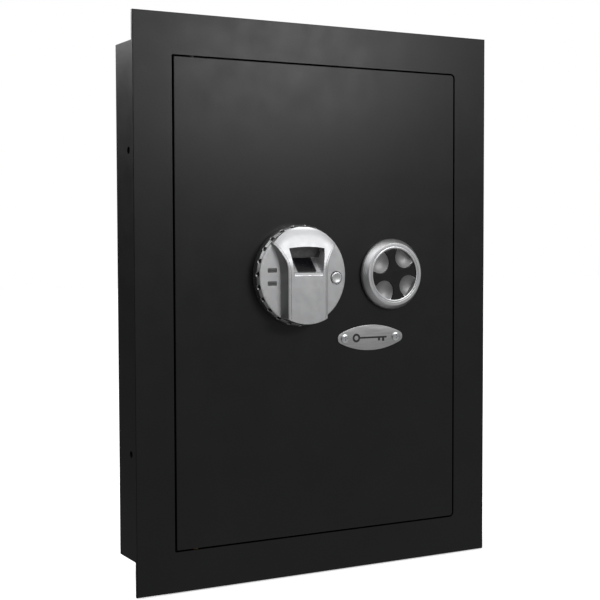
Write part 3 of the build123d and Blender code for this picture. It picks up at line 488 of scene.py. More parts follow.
# ---- fingerprint scanner ---------------------------------------------------------------------------
SCAN_X, SCAN_Z = middle("scanner_ring", 0), middle("scanner_ring", 2)
RING_R = (mm_box("scanner_ring")[1][0] - mm_box("scanner_ring")[0][0]) / 2
FACE_R = RING_R - 1.8
BAND_H = DOOR_Y - mm_box("scanner_face")[0][1]
WING_H, FACE_BACK, EDGE_R = 13.0, 9.1, 0.5
SHOULDER_H, LIP_H = 9.1, 11.7  # heights between which the ring slopes in to the housing's edge
NECK_R = FACE_R - 2.2  # the housing under its overhanging edge
HOOD_START, HOOD_END, HOOD_FALL = 8, 47.6, 1.7
CREST_HALF, CREST_FLARE, FOOT_HALF, FOOT_FLARE = 22.4, 0.0138, 25.8, 0.0066
WING_CROWN, BAND_CROWN, BAND_PULL, RIM_REACH = 0.9, 0.45, 0.05, 9
STRIP = 2.6  # width of the strip along the band's edge, out to the crest
GROOVE = 0.3  # depth of the groove inside that strip
SHOULDER_DROP = 0.75  # from the band's top to where its side wall starts
WIN_X, WIN_TOP_HALF, WIN_LOW_HALF, WIN_TOP, WIN_BOW, WIN_LEAN = 0.6, 19.5, 15.7, 28.6, 1.5, 3.2
WIN_DEEP = 18  # depth of the window at which its sides have leant in by WIN_LEAN
PAD_LOW, PAD_HIGH = (3, 20), (18, 6.5)  # (z, height) of the slope that the sensor lies on
SILL = ((0.1, BAND_H), (0.6, BAND_H - 0.15), (2.9, 21.9), (3.3, 19.9), PAD_HIGH, (28.2, 11))
SHIFTED_Z, SHIFTED_X = 40, (21, 18)  # where the window's offset ends, and where it fades out sideways
SIDEWAYS = 0.7  # part of a face's normal along x, from which it belongs to a side wall
BACK_WALL_SHADE_FACE, SIDE_WALL_SHADE_FACE, HOOD_FACE = 1, 2, 3  # material indices of the housing; the first two carry painted shade, on the window's back wall and on the band's side walls
TEETH, TOOTH_TURN = 24, 12.5
NOTCH_HALF_WIDE, NOTCH_HALF_HIGH, NOTCH_H, NOTCH_DEPTH = 2.3, 2.4, 10.3, 1.5
BUTTON_X, BUTTON_Z = middle("start_button", 0) - SCAN_X, middle("start_button", 2) - SCAN_Z
BUTTON_R, BUTTON_FOOT_R, BUTTON_BACK = 6.0, 6.4, 5.3
LED_LOW, LED_HIGH = mm_box("led_lenses")
LED_X, LED_HALF_H = (LED_LOW[0] + LED_HIGH[0]) / 2 - SCAN_X, 2.1
LED_HALF_L = (LED_HIGH[0] - LED_LOW[0]) / 2
LED_Z = (LED_LOW[2] + LED_HALF_H - SCAN_Z, LED_HIGH[2] - LED_HALF_H - SCAN_Z)


def crest_height(z):
    """The band is level below the window and falls away above it as a hood."""
    t = max(0, (z - HOOD_START) / (HOOD_END - HOOD_START))
    return BAND_H - (BAND_H - WING_H) * t**HOOD_FALL


def crest_half(z):
    """Half the band's width at its top, which grows up the hood."""
    return CREST_HALF + CREST_FLARE * max(0, z - 3) ** 2


def foot_half(z):
    """Half the band's width where it meets the wings."""
    return max(crest_half(z) + 0.9, FOOT_HALF + FOOT_FLARE * max(0, z + 2) ** 2)


def wing_height(x):
    """The wings are slightly crowned."""
    return WING_H + 0.25 - WING_CROWN * (x / FACE_R) ** 2


def sill_height(z):
    """Height of the window's floor, by straight lines between the points of SILL."""
    for (z0, h0), (z1, h1) in zip(SILL, SILL[1:]):
        if z <= z1 or (z1, h1) == SILL[-1]:
            return h0 + (h1 - h0) * min(1, max(0, (z - z0) / (z1 - z0)))


def window_section(z, top, win):
    """(x, height) from the middle of the window's floor up its side wall, which ends at x = win."""
    floor = min(top - 0.02, sill_height(z))
    lean = WIN_LEAN * (top - floor) / WIN_DEEP
    points = [((win - lean) * k / 4, floor) for k in range(5)]
    points += [(win - lean * t, floor + (top - floor) * (1 - t)) for t in (0.85, 0.6, 0.35, 0.12)]
    points += [(win - lean * 0.03 + 0.05, top - min(0.35, (top - floor) / 2))]
    return points + [(win + 0.18, top - 0.08)]


def half_section(z, in_window):
    """(x, height) from the middle of the housing to its right edge, at height z on the housing."""
    top, crest, foot = crest_height(z), crest_half(z), foot_half(z)
    win = WIN_LOW_HALF + (WIN_TOP_HALF - WIN_LOW_HALF) * min(1, max(0, z / (WIN_TOP - WIN_BOW)))
    lip = win + 0.5
    inner = crest - STRIP - 0.6
    if in_window:
        points = window_section(z, top, win)
    else:
        points = [(win * k / 9, top) for k in range(10)] + [(win + 0.18, top)]
    points += [(lip, top)] + [(lip + (inner - lip) * k / 4, top) for k in (1, 2, 3)]
    points += [(inner, top), (inner + 0.2, top - GROOVE), (inner + 0.4, top - GROOVE)]
    points += [(inner + 0.6, top + 0.02)]
    points += [(crest - 1.6, top - 0.04), (crest - 0.75, top - 0.14), (crest - 0.3, top - 0.34)]
    points += [(crest, top - SHOULDER_DROP)]
    wing = wing_height(foot)
    shoulder = top - SHOULDER_DROP
    for t in (0.05, 0.35, 0.65, 0.96, 1):
        points.append((crest + (foot - crest) * t, shoulder - (shoulder - wing) * t))
    points += [(foot + 0.2, wing), (foot + 0.9, wing)]
    edge = max(foot + 1, FACE_R)
    wing_x = [foot + 0.9 + (edge - foot - 0.9) * k / 9 for k in range(1, 10)]
    return points + [(x, wing_height(x)) for x in wing_x]


def clipped(points, limit):
    """The same points, with those beyond limit moved to where the line crosses it."""
    result = []
    for i, (x, h) in enumerate(points):
        if x > limit:
            x0, h0 = next(p for p in reversed(points[:i]) if p[0] <= limit) if i else (0, h)
            x1, h1 = next(p for p in points if p[0] > limit)
            h = h0 + (h1 - h0) * (limit - x0) / (x1 - x0)
            x = limit
        result.append((x, h))
    return result


def settle(x, h, z):
    """Bows the window's top edge, crowns the band, rounds it to the rim and leans its lower end in."""
    bow = ramp(z, 12, 24) * ramp(z, 44, 32)
    z -= WIN_BOW * (min(abs(x), 22) / WIN_TOP_HALF) ** 2 * bow
    h -= BAND_CROWN * (min(abs(x), CREST_HALF) / CREST_HALF) ** 2 * ramp(h, WING_H + 1, WING_H + 7)
    r = math.hypot(x, z)
    near_rim = math.sqrt(1 - (1 - min(1, max(0, (FACE_R - r) / RIM_REACH))) ** 2)
    h = min(h, WING_H) + max(0, h - WING_H) * (1 - (1 - near_rim) * ramp(z, 8, 22))
    pull = BAND_PULL * max(0, h - WING_H) * ramp(r, 38, 48) * ramp(z, 4, -8)
    scale = (r - pull) / r if r else 1
    return x * scale, h, z * scale


def housing_rows():
    """Levels on the housing, from bottom to top, each with whether it lies in the window."""
    inner_r = FACE_R - EDGE_R
    count = 110
    even = [-inner_r * math.cos(math.pi * k / count) for k in range(count + 1)]
    rows = [(z, 0.3 < z < WIN_TOP - 0.4) for z in even if abs(z) > 0.2 or z < 0]
    rows += [(z, True) for z, _ in SILL] + [(SILL[0][0] - 0.02, False)]
    rows += [(z, True) for z in (0.9, 2.6, PAD_HIGH[0] - 0.4, PAD_HIGH[0] + 0.4)]
    rows += [(WIN_TOP - 0.3, True), (WIN_TOP - 0.02, True)]
    rows += [(WIN_TOP, False), (WIN_TOP + 0.5, False)]
    return sorted(rows)


def scanner_housing():
    """One silver moulding: wings, band, hood and finger window, over a closed back."""
    inner_r = FACE_R - EDGE_R
    mesh = Mesh(facing_out(SCAN_X, SCAN_Z))
    front, back, left, right = [], [], [], []
    for z, in_window in housing_rows():
        half = clipped(half_section(z, in_window), math.sqrt(max(0, inner_r**2 - z**2)))
        shift = WIN_X if abs(z) < SHIFTED_Z else 0
        profile = [(-x, h) for x, h in reversed(half)] + half[1:]
        row = [settle(x + shift * ramp(abs(x), *SHIFTED_X), h, z) for x, h in profile]
        front.append(row)
        tuck = [min(1, (NECK_R - 1) / (math.hypot(x, z) or 1)) for x, _, z in row]
        back.append([(x * t, min(FACE_BACK, h - 1.6), z * t) for (x, h, z), t in zip(row, tuck)])
        left.append(rim_fall(row[0]))
        right.append(rim_fall(row[-1]))
    mesh.skin(front)
    mesh.skin([list(reversed(r)) for r in back])
    mesh.skin(left)
    mesh.skin([list(reversed(r)) for r in right])
    for face in mesh.bm.faces:
        face.normal_update()
        face.material_index = housing_finish(face)
    # smoke_plastic and shaded_silver here paint shade on the window's back wall and on the band's side walls
    extra = ["smoke_plastic", "shaded_silver", "hood_silver"]
    mesh.piece("scanner_housing", "door", "silver_plastic", ["scanner_face"], extra, [housing_wells()])


def housing_finish(face):
    """The material index of one face of the housing, by where it lies."""
    x, y, z = face.calc_center_median() / MM
    across, up, height = abs(x - SCAN_X), z - SCAN_Z, DOOR_Y - y
    # The band's steep side walls get shaded_silver, a darker copy of the housing's silver: painted shade
    if abs(face.normal.x) > SIDEWAYS and height > WING_H + 0.3 and across > CREST_HALF - 3:
        return SIDE_WALL_SHADE_FACE
    if up > 2 and height > WING_H + 0.8:
        return HOOD_FACE
    # The silver back wall behind the sensor gets smoke plastic, a dark finish that stands in for the shade
    # in the well: painted shade
    behind_sensor = PAD_HIGH[0] - 0.2 < up < WIN_TOP and FACE_BACK - 4 < height < WING_H
    if behind_sensor and abs(x - SCAN_X - WIN_X) < WIN_TOP_HALF:
        return BACK_WALL_SHADE_FACE
    return 0


def housing_wells():
    """The button's well with its chamfered mouth, and the two indicator windows' openings."""
    wells = Mesh(facing_out(SCAN_X, SCAN_Z))
    gap_r, mouth_r, low, high = BUTTON_R + 0.55, BUTTON_R + 1, 8, WING_H + 1
    profile = [(0, low), (gap_r, low), (gap_r, WING_H - 0.7), (mouth_r, WING_H - 0.1)]
    profile += [(mouth_r + 0.1, high), (0, high)]
    wells.lathe(profile, 64, (BUTTON_X, BUTTON_Z))
    for z in LED_Z:
        outline = rounded_bar(LED_HALF_L + 0.15, LED_HALF_H + 0.15, 1.2, LED_X, z)
        wells.prism(outline, WING_H - 2, WING_H + 2)
    return wells.cutter()


def rim_fall(p):
    """Points down the outside of the housing from a point on its front edge to its back."""
    x, h, z = p
    r = math.hypot(x, z)
    low = min(h - EDGE_R, WING_H - 0.6)
    lip = LIP_H + 0.1
    path = [(r, h), (r + 0.3, h - 0.12), (r + EDGE_R * 0.9, h - EDGE_R), (FACE_R, low), (FACE_R, lip)]
    path += [(NECK_R, lip), (NECK_R, FACE_BACK), (NECK_R - 1, FACE_BACK)]
    return [(x * s / r, height, z * s / r) for s, height in path]


def in_notch(turn, h):
    """Above 0 inside a notch of the ring, up to 1 at its middle."""
    pitch = 360 / TEETH
    off = math.radians((turn - TOOTH_TURN + pitch / 2) % pitch - pitch / 2) * RING_R
    return 1 - (off / NOTCH_HALF_WIDE) ** 2 - ((h - NOTCH_H) / NOTCH_HALF_HIGH) ** 2


def notched_ring():
    """Silver ring with dark round notches in its front edge."""
    mesh = Mesh(facing_out(SCAN_X, SCAN_Z))
    slope = (RING_R - FACE_R - 0.2) / (LIP_H - SHOULDER_H)
    inner_r, back = FACE_R - 2.8, FACE_BACK - 0.1
    count, levels = TEETH * 20, 16
    rows = []
    for k in range(count):
        turn = 360 * k / count
        section = [(RING_R - 1.2, 0), (RING_R - 0.3, 0.7), (RING_R, 2.2), (RING_R, 4.5)]
        for level in range(levels + 1):
            h = 6 + (LIP_H - 6) * level / levels
            r = RING_R - slope * max(0, h - SHOULDER_H)
            section.append((r - NOTCH_DEPTH * ease(in_notch(turn, h) * 2.2), h))
        section += [(NECK_R + 0.1, LIP_H), (NECK_R + 0.1, back), (inner_r, back), (inner_r, 0)]
        t = math.radians(turn)
        rows.append([(r * math.cos(t), h, r * math.sin(t)) for r, h in section])
    mesh.skin(rows, around=True, along=True)
    for face in mesh.bm.faces:
        x, y, z = face.calc_center_median() / MM
        turn = math.degrees(math.atan2(z - SCAN_Z, x - SCAN_X)) % 360
        outside = math.hypot(x - SCAN_X, z - SCAN_Z) > FACE_R - 1.7
        face.material_index = 1 if outside and in_notch(turn, DOOR_Y - y) > 0.12 else 0
    # ring_silver's darker colour is painted shade; the ring is the same silver as the housing
    mesh.piece("notched_ring", "door", "ring_silver", ["scanner_ring"], ["black_gloss"])


def sensor_pad():
    """Dark glass in a thin frame, lying on the window's sloping floor."""
    low, high = mm_box("sensor_glass")
    (z0, h0), (z1, h1) = PAD_LOW, PAD_HIGH
    lean = math.atan2(h0 - h1, z1 - z0)
    base_x, centre = (low[0] + high[0]) / 2, math.hypot(h0 - h1, z1 - z0) / 2
    half = (high[0] - low[0]) / 2

    def on_slope(x, h, z):
        """h stands off the slope and z runs up it."""
        height = h0 - z * math.sin(lean) + h * math.cos(lean)
        up = z0 + z * math.cos(lean) + h * math.sin(lean)
        return base_x + x, DOOR_Y - height, SCAN_Z + up

    border = Mesh(on_slope)
    border.prism(rounded_bar(half, centre - 0.75, 1.5, cz=centre), 0.02, 0.75, 0.2)
    border.piece("sensor_frame", "door", "black_plastic")
    glass = Mesh(on_slope)
    glass.prism(rounded_bar(half - 0.9, centre - 1.6, 1.1, cz=centre), 0.5, 1.05, 0.25)
    glass.piece("sensor_window", "door", "sensor_glass", ["sensor_glass"])


def start_button_cap():
    """Round push button: a dished top, and a wider foot that keeps it in its well."""
    mesh = Mesh(facing_out(SCAN_X + BUTTON_X, SCAN_Z + BUTTON_Z))
    top, foot_top, stem_r, dish_r, dish_depth = WING_H + 0.9, 7.8, 1.5, BUTTON_R - 1.5, 0.5
    profile = [(0, BUTTON_BACK), (stem_r, BUTTON_BACK), (stem_r, 7), (BUTTON_FOOT_R, 7)]
    profile += [(BUTTON_FOOT_R, foot_top), (BUTTON_R, foot_top), (BUTTON_R, top - 1)]
    profile += [(dish_r + 1.3, top - 0.5), (dish_r + 0.9, top - 0.15), (dish_r + 0.4, top)]
    profile += [(dish_r * t, top - dish_depth * (1 - t**2)) for t in (1, 0.8, 0.6, 0.4, 0.2, 0)]
    mesh.lathe(profile, 72)
    mesh.piece("start_button_cap", "start_button", "silver_plastic", ["start_button"])


def led_windows():
    """Two smoked windows, each with a small raised ring and bar."""
    mesh = Mesh(facing_out(SCAN_X, SCAN_Z))
    marks = Mesh(facing_out(SCAN_X, SCAN_Z))
    face = wing_height(LED_X)
    low, high = face - 0.2, face - 0.08
    for z in LED_Z:
        mesh.prism(rounded_bar(LED_HALF_L, LED_HALF_H, 1.1, LED_X, z), face - 1.9, face - 0.15, 0.25)
        marks.lathe([(0.5, low), (0.5, high), (0.85, high), (0.85, low)], 32, (LED_X - 1.9, z))
        marks.prism(rounded_bar(1.5, 0.28, 0.2, LED_X + 1.3, z), low, high)
    mesh.piece("led_windows", "door", "smoke_plastic", ["led_lenses"])
    marks.piece("led_marks", "door", "black_plastic")


# ---- knob ------------------------------------------------------------------------------------------
KNOB_X, KNOB_Z = middle("knob_body", 0), middle("knob_body", 2)
KNOB_LOW, KNOB_HIGH = mm_box("knob_body")
KNOB_BASE_R = (KNOB_HIGH[0] - KNOB_LOW[0]) / 2
KNOB_FACE_R, KNOB_BOWL_R, KNOB_H, FLOOR_H = KNOB_BASE_R - 4.6, 26.4, 8.8, 6.6
KNOB_REST = 10  # degrees that the cross stands turned from upright
SCOOPS, SCOOP_R, SCOOP_OFF, SCOOP_DEPTH, SCOOP_BOWL = 4, 11, 21.2, 4.4, 2.4
SCOOP_TURNS = [KNOB_REST + 45 + 360 / SCOOPS * k for k in range(SCOOPS)]
SCOOP_AT = arc(0, 0, SCOOP_OFF, SCOOP_TURNS[0], SCOOP_TURNS[-1], SCOOPS)
GRIP_T = 1.1


def knob_dish():
    """Silver rim with a bevelled flank, a double lip, and four round scoops in the dish."""
    mesh = Mesh(facing_out(KNOB_X, KNOB_Z, KNOB_HIGH[1]))
    low, high, bulge = 2.2, KNOB_H - 0.1, 0.5
    run = KNOB_FACE_R + 0.2 - KNOB_BASE_R
    lip_r = KNOB_BOWL_R + 2.4
    rim = [(KNOB_BASE_R - 0.6, 0), (KNOB_BASE_R - 0.15, 0.2), (KNOB_BASE_R, 0.7), (KNOB_BASE_R, 1.8)]
    for t in (0, 0.2, 0.4, 0.6, 0.8, 0.98):
        rim.append((KNOB_BASE_R + run * t, low + (high - low) * t + bulge * math.sin(math.pi * t)))
    rim += [(KNOB_FACE_R + 0.05, KNOB_H - 0.02), (KNOB_FACE_R - 0.1, KNOB_H), (lip_r + 0.3, KNOB_H)]
    rim += [(lip_r + 0.1, KNOB_H - 0.2), (lip_r - 0.2, KNOB_H - 0.25), (lip_r - 0.4, high)]
    rim += [(KNOB_BOWL_R + 0.25, high), (KNOB_BOWL_R + 0.06, KNOB_H - 0.25), (KNOB_BOWL_R, KNOB_H - 0.5)]
    count, circles = 288, 66
    rows = []
    for k in range(count):
        turn = 2 * math.pi * k / count
        across = [KNOB_BOWL_R * (1 - i / circles) for i in range(circles + 1)]
        section = rim + [(r, floor_height(r, turn)) for r in across] + [(0, 0)]
        rows.append([(r * math.cos(turn), h, r * math.sin(turn)) for r, h in section])
    mesh.skin(rows, along=True)
    for face in mesh.bm.faces:
        x, y, z = face.calc_center_median() / MM
        if y > KNOB_HIGH[1] - FLOOR_H + 0.03 and to_scoop(x - KNOB_X, z - KNOB_Z) < SCOOP_R:
            face.material_index = 1
    mesh.piece("knob_dish", "knob", "silver_plastic", ["knob_body"], ["moulded_silver"], sharp=40)


def to_scoop(x, z):
    """Distance to the middle of the nearest scoop."""
    return min(math.hypot(x - scoop_x, z - scoop_z) for scoop_x, scoop_z in SCOOP_AT)


def floor_height(r, turn):
    """Height of the dish's floor, which the round scoops are sunk in."""
    part = min(1, to_scoop(r * math.cos(turn), r * math.sin(turn)) / SCOOP_R)
    return FLOOR_H - SCOOP_DEPTH * (1 - part**SCOOP_BOWL)


def knob_cross():
    """Gloss black inlay: a disc cut away round the scoops, so that four flared arms are left."""
    mesh = Mesh(facing_out(KNOB_X, KNOB_Z, KNOB_HIGH[1]))
    rim, cut_r = KNOB_BOWL_R - 0.08, SCOOP_R - 0.05
    spread = math.degrees(math.acos((rim**2 + SCOOP_OFF**2 - cut_r**2) / (2 * rim * SCOOP_OFF)))
    open_to = math.degrees(math.acos((cut_r**2 + SCOOP_OFF**2 - rim**2) / (2 * cut_r * SCOOP_OFF)))
    outline = []
    for a, (x, z) in zip(SCOOP_TURNS, SCOOP_AT):
        outline += arc(x, z, cut_r, a - open_to, a - 360 + open_to, 44)
        outline += arc(0, 0, rim, a + spread, a + 360 / SCOOPS - spread, 16)[1:-1]
    mesh.prism(outline, FLOOR_H, FLOOR_H + GRIP_T, 0.45)
    mesh.piece("knob_cross", "knob", "black_gloss", ["knob_grip"])


# ---- name plate ------------------------------------------------------------------------------------
PLATE_X, PLATE_Z = middle("cover_plate", 0), middle("cover_plate", 2)
PLATE_LOW, PLATE_HIGH = mm_box("cover_plate")
PLATE_HALF_L, PLATE_HALF_H = (PLATE_HIGH[0] - PLATE_LOW[0]) / 2, (PLATE_HIGH[2] - PLATE_LOW[2]) / 2
PLATE_T, PLATE_END_R, PLATE_SCREW_X = 1.0, 5.6, 30.6
MARK_BOW_X, MARK_BOW_R, MARK_BORE_R, MARK_HALF = -17, 4.5, 2.3, 0.9
MARK_TEETH, MARK_TIP = ((9, 11.5, 3.6), (14, 16.7, 4.2)), 19.5  # (start, end, depth) of each tooth


def oval():
    """Two long arcs joined by a small arc at each end."""
    a, b, end = PLATE_HALF_L, PLATE_HALF_H, PLATE_END_R
    long_r = ((a - end) ** 2 + b**2 - end**2) / (2 * (b - end))
    turn = math.degrees(math.atan2(a - end, long_r - b))
    points = arc(0, b - long_r, long_r, 90 - turn, 90 + turn, 60)
    points += arc(-(a - end), 0, end, 90 + turn, 270 - turn, 16)[1:-1]
    points += arc(0, long_r - b, long_r, 270 - turn, 270 + turn, 60)
    return points + arc(a - end, 0, end, -90 + turn, 90 - turn, 16)[1:-1]


def key_plate():
    """Oval plate with a printed key on it: a round bow, a shaft and two teeth."""
    plate = Mesh(facing_out(PLATE_X, PLATE_Z))
    plate.prism(oval(), 0, PLATE_T, 0.35)
    plate.piece("key_plate", "door", "plate_metal", ["cover_plate"])
    mark = Mesh(facing_out(PLATE_X, PLATE_Z))
    low, high = PLATE_T - 0.2, PLATE_T + 0.06
    bow = [(MARK_BORE_R, low), (MARK_BORE_R, high), (MARK_BOW_R, high), (MARK_BOW_R, low)]
    mark.lathe(bow + bow[:1], 64, (MARK_BOW_X, 0))
    start = MARK_BOW_X + MARK_BOW_R - 0.3
    shaft = [(start, -MARK_HALF)]
    for left, right, deep in MARK_TEETH:
        shaft += [(left, -MARK_HALF), (left, -deep), (right, -deep), (right, -MARK_HALF)]
    mark.prism(shaft + [(MARK_TIP, -MARK_HALF), (MARK_TIP, MARK_HALF), (start, MARK_HALF)], low, high)
    mark.piece("key_mark", "door", "black_plastic")


def cross_cutter(place, x, z, reach, width, low, high):
    """A cross-shaped hole about (x, z). Its arms end at reach and are twice width across."""
    cutter = Mesh(place)
    outline = []
    for degrees in (0, 90, 180, 270):
        across, up = math.cos(math.radians(degrees)), math.sin(math.radians(degrees))
        for px, pz in ((reach, -width), (reach, width), (width, width)):
            outline.append((x + px * across - pz * up, z + px * up + pz * across))
    cutter.prism(outline, low, high)
    return cutter.cutter()


def domed_screws(name, body, slot_name, node, place, centres, head_r, head_h, shank_r, length):
    """Domed cross-head screws, as one piece of several solids."""
    mesh = Mesh(place)
    turns = [math.radians(t) for t in range(90, -1, -10)]
    dome = [(head_r * math.sin(t), head_h * (0.25 + 0.75 * math.cos(t))) for t in turns]
    shank = [(0, -length), (shank_r, -length + 0.3), (shank_r, 0.02), (head_r - 0.1, 0.02), (head_r, 0.15)]
    cutters = []
    for x, z in centres:
        mesh.lathe(shank + dome, 56, (x, z))
        cutters.append(cross_cutter(place, x, z, head_r * 0.5, head_r * 0.1, head_h * 0.45, head_h + 1))
    mesh.piece(name, body, slot_name, [node], cutters=cutters, sharp=35)


def plate_screws():
    """One screw at each end of the oval plate."""
    place = facing_out(PLATE_X, PLATE_Z, DOOR_Y - PLATE_T)
    centres = [(-PLATE_SCREW_X, 0), (PLATE_SCREW_X, 0)]
    sizes = {"head_r": 4.7, "head_h": 1.7, "shank_r": 1.5, "length": 6}
    domed_screws("key_plate_screws", "door", "bolt_chrome", "cover_plate_screws", place, centres, **sizes)


# ---- back of the door --------------------------------------------------------------------------------
BOLT_LOW, BOLT_HIGH = mm_box("locking_bolts")
BOLT_R = (BOLT_HIGH[1] - BOLT_LOW[1]) / 2
COVER_T, COVER_HEAD_R, COVER_MID_UP = 1.5, 3.6, 50
CELLS = 4


def cover_screws():
    """Six screws along the two sides of the lock case's inner cover."""
    low, high = mm_box("inner_cover_screws")
    seat = mm_box("inner_cover")[0][1] + COVER_T
    xs = (low[0] + COVER_HEAD_R, high[0] - COVER_HEAD_R)
    zs = (low[2] + COVER_HEAD_R, (low[2] + high[2]) / 2 + COVER_MID_UP, high[2] - COVER_HEAD_R)
    centres = [(x, z) for x in xs for z in zs]
    sizes = {"head_r": COVER_HEAD_R, "head_h": 2, "shank_r": 2, "length": 9}
    names = ("inner_cover_screw_set", "door", "zinc_steel", "inner_cover_screws")
    domed_screws(*names, lambda x, h, z: (x, seat + h, z), centres, **sizes)


def on_bolt_axes(name, body, slot_name, node, profile):
    """A piece of three solids: (radius, x) points turned about the axis of each bolt."""
    y, centre_z = middle("locking_bolts", 1), middle("locking_bolts", 2)
    spread = (BOLT_HIGH[2] - BOLT_LOW[2]) / 2 - BOLT_R
    mesh = Mesh(lambda a, h, b: (h, y + a, b))
    for z in (centre_z - spread, centre_z, centre_z + spread):
        mesh.lathe(profile, 64, (0, z))
    mesh.piece(name, body, slot_name, [node])


def bolt_rods():
    """Three chromed bolts with rounded noses and a screw hole in the back end."""
    r, back, nose = BOLT_R, BOLT_LOW[0], BOLT_HIGH[0]
    hole_r, hole_end = 3, back + 12
    profile = [(0, hole_end), (hole_r, hole_end), (hole_r, back), (r - 0.4, back), (r, back + 0.4)]
    profile += [(r, nose - 2), (r - 0.15, nose - 1.2), (r - 0.6, nose - 0.4), (r - 1.4, nose)]
    profile += [(2, nose), (0, nose)]
    on_bolt_axes("bolt_rods", "bolts", "bolt_chrome", "locking_bolts", profile)


def bolt_guides():
    """The flanged bushes that the bolts run in."""
    low, high = mm_box("bolt_bushes")
    back, front, bore, tube, flange = low[0], high[0], BOLT_R + 0.1, BOLT_R + 2, BOLT_R + 3
    profile = [(bore, back), (tube, back), (tube, front - 1.5), (flange, front - 1.5), (flange, front - 0.4)]
    profile += [(flange - 0.4, front), (bore + 0.4, front), (bore, front - 0.4), (bore, back)]
    on_bolt_axes("bolt_guides", "door", "nylon", "bolt_bushes", profile)


def cells():
    """Four dry cells, alternate ways up: sleeve, shoulder, contact cap and base."""
    low, high = mm_box("battery_cells")
    r = (high[1] - low[1]) / 2
    y, mid = (low[1] + high[1]) / 2, (low[2] + high[2]) / 2
    half = (high[2] - low[2]) / 2
    pitch = (high[0] - low[0] - 2 * r) / (CELLS - 1)
    profile = [(0, -half), (r - 1.6, -half), (r - 1.4, -half + 0.5), (r - 0.5, -half + 0.5), (r, -half + 1)]
    profile += [(r, half - 2.1), (r - 0.5, half - 1.5), (r - 2, half - 1.4)]
    profile += [(2.8, half - 1.4), (2.7, half - 0.2), (2.5, half), (0, half)]
    for k in range(CELLS):
        way = 1 if k % 2 else -1
        mesh = Mesh(lambda a, h, b: (low[0] + r + pitch * k + a, y + way * b, mid + way * h))
        mesh.lathe(profile, 48)
        for face in mesh.bm.faces:
            z = face.calc_center_median().z / MM
            face.material_index = 1 if abs(z - mid) > half - 1.9 else 0
        mesh.piece(f"dry_cell_{k + 1}", "door", "cell_label", ["battery_cells"], ["zinc_steel"])


scanner_housing()
notched_ring()
sensor_pad()
start_button_cap()
led_windows()
knob_dish()
knob_cross()
key_plate()
plate_screws()
cover_screws()
bolt_rods()
bolt_guides()
cells()

# ---- floor, light and camera ---------------------------------------------------------------------
SKY = ((-1, 0.28), (-0.3, 0.11), (0, 0.035), (0.25, 0.1), (0.6, 0.3), (1, 0.5))  # (height, radiance)
SKY_PEAK = max(radiance for _, radiance in SKY)
LOBES = (  # (direction, radiance, power) of soft light from one side
    ((0.6, -0.8, 0), 0.27, 1),
    ((-0.5, -0.1, 0.86), 1.3, 5),
)
SOFTBOXES = (  # (name, place, aim, size, radiance)
    ("key_box", (1.08, -1.88, 1.2), (0, 0, 0), (2.2, 1.2), 1),
    ("near_strip", (0.37, -0.8, 0.38), (0.02, 0, 0.15), (0.36, 0.16), 9),
    ("left_box", (-0.7, 1.05, 0.75), (-0.18, 0.05, 0.1), (0.5, 0.5), 13),
)
FLOOR_SIZE, FLOOR_GAP, FLOOR_GLOW = 14, 0.001, 0.55
CAMERA_AT = (-0.6419, -1.1253, 0.0649)
CAMERA_TURNS = (("Z", -28.79), ("X", -2.82), ("Y", 0.15))  # yaw, pitch and roll in degrees
LENS, SENSOR = 77.2, 36  # millimetres


def softbox(name, place, aim, size, radiance):
    """A rectangular lamp of even radiance, which the camera doesn't see."""
    lamp = bpy.data.lights.new(name, "AREA")
    lamp.shape = "RECTANGLE"
    lamp.size, lamp.size_y = size
    lamp.energy = radiance * math.pi * size[0] * size[1]
    obj = bpy.data.objects.new(name, lamp)
    obj.location = place
    obj.visible_camera = False
    obj.rotation_euler = (Vector(aim) - Vector(place)).to_track_quat("-Z", "Y").to_euler()
    bpy.context.scene.collection.objects.link(obj)


def studio():
    """A pale floor just under the safe, the soft room and the softboxes."""
    bpy.ops.mesh.primitive_plane_add(size=FLOOR_SIZE, location=(0, 0, cad_box[0][2] - FLOOR_GAP))
    floor = bpy.context.object
    floor.name = "floor"
    pale = Maker("pale_floor", roughness=0.8)
    pale.color(pale.blend(pale.remap(pale.noise(1.5), 0, 1), (0.9, 0.9, 0.9), (0.93, 0.93, 0.93)))
    pale.set("Emission Color", (1, 1, 1, 1))
    pale.set("Emission Strength", FLOOR_GLOW)
    paint(floor, pale.mat)
    floor.visible_glossy = False
    floor.visible_diffuse = False
    soft_room()
    for values in SOFTBOXES:
        softbox(*values)


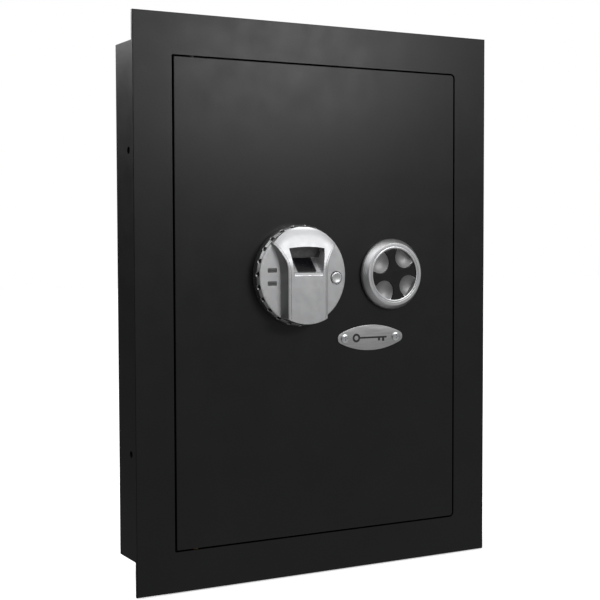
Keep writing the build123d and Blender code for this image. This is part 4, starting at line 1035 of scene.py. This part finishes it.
def soft_room():
    """Light by direction alone: the levels of SKY by height, and the LOBES. The camera sees plain white."""
    world = bpy.data.worlds.new("studio")
    bpy.context.scene.world = world
    world.use_nodes = True
    tree = world.node_tree
    tree.nodes.clear()

    def node(kind, values, **settings):
        """A new node, whose inputs are set to values or linked where a value is another node's output."""
        new = tree.nodes.new(kind)
        for key, value in settings.items():
            setattr(new, key, value)
        for socket, value in values.items():
            if isinstance(value, bpy.types.NodeSocket):
                tree.links.new(value, new.inputs[socket])
            else:
                new.inputs[socket].default_value = value
        return new

    def result(operation, *values):
        """What a Math node makes of its values."""
        return node("ShaderNodeMath", dict(enumerate(values)), operation=operation).outputs["Value"]

    direction = node("ShaderNodeTexCoord", {}).outputs["Generated"]
    split = node("ShaderNodeSeparateXYZ", {"Vector": direction})
    height = node("ShaderNodeMapRange", {"Value": split.outputs["Z"], "From Min": -1})
    sky = node("ShaderNodeValToRGB", {"Fac": height.outputs["Result"]})
    ramp_stops = sky.color_ramp.elements
    sky.color_ramp.interpolation = "EASE"
    ramp_stops[0].position = 0
    ramp_stops[1].position = 1
    for z, _ in SKY[1:-1]:
        ramp_stops.new((z + 1) / 2)
    for stop, (_, radiance) in zip(ramp_stops, SKY):
        grey = radiance / SKY_PEAK
        stop.color = (grey, grey, grey, 1)
    total = result("MULTIPLY", sky.outputs["Color"], SKY_PEAK)
    for axis, radiance, power in LOBES:
        vectors = {0: direction, 1: Vector(axis).normalized()}
        dot = node("ShaderNodeVectorMath", vectors, operation="DOT_PRODUCT")
        toward = result("MAXIMUM", dot.outputs["Value"], 0)
        total = result("MULTIPLY_ADD", result("POWER", toward, power), radiance, total)
    white = (1, 1, 1, 1)
    lit = node("ShaderNodeBackground", {"Color": white, "Strength": total})
    seen = node("ShaderNodeBackground", {"Color": white})
    by_camera = node("ShaderNodeLightPath", {}).outputs["Is Camera Ray"]
    mix = node("ShaderNodeMixShader", {0: by_camera, 1: lit.outputs[0], 2: seen.outputs[0]})
    node("ShaderNodeOutputWorld", {"Surface": mix.outputs["Shader"]})


def camera():
    """Stands left of the door, a little above its middle, and looks right and slightly down."""
    lens = bpy.data.cameras.new("camera")
    lens.sensor_width = SENSOR
    lens.lens = LENS
    obj = bpy.data.objects.new("camera", lens)
    pose = Matrix.Translation(CAMERA_AT)
    for axis, degrees in CAMERA_TURNS:
        pose = pose @ Matrix.Rotation(math.radians(degrees), 4, axis)
    obj.matrix_world = pose @ Matrix.Rotation(math.pi / 2, 4, "X")
    bpy.context.scene.collection.objects.link(obj)
    bpy.context.scene.camera = obj


studio()
camera()
bpy.context.scene.view_settings.view_transform = "Standard"
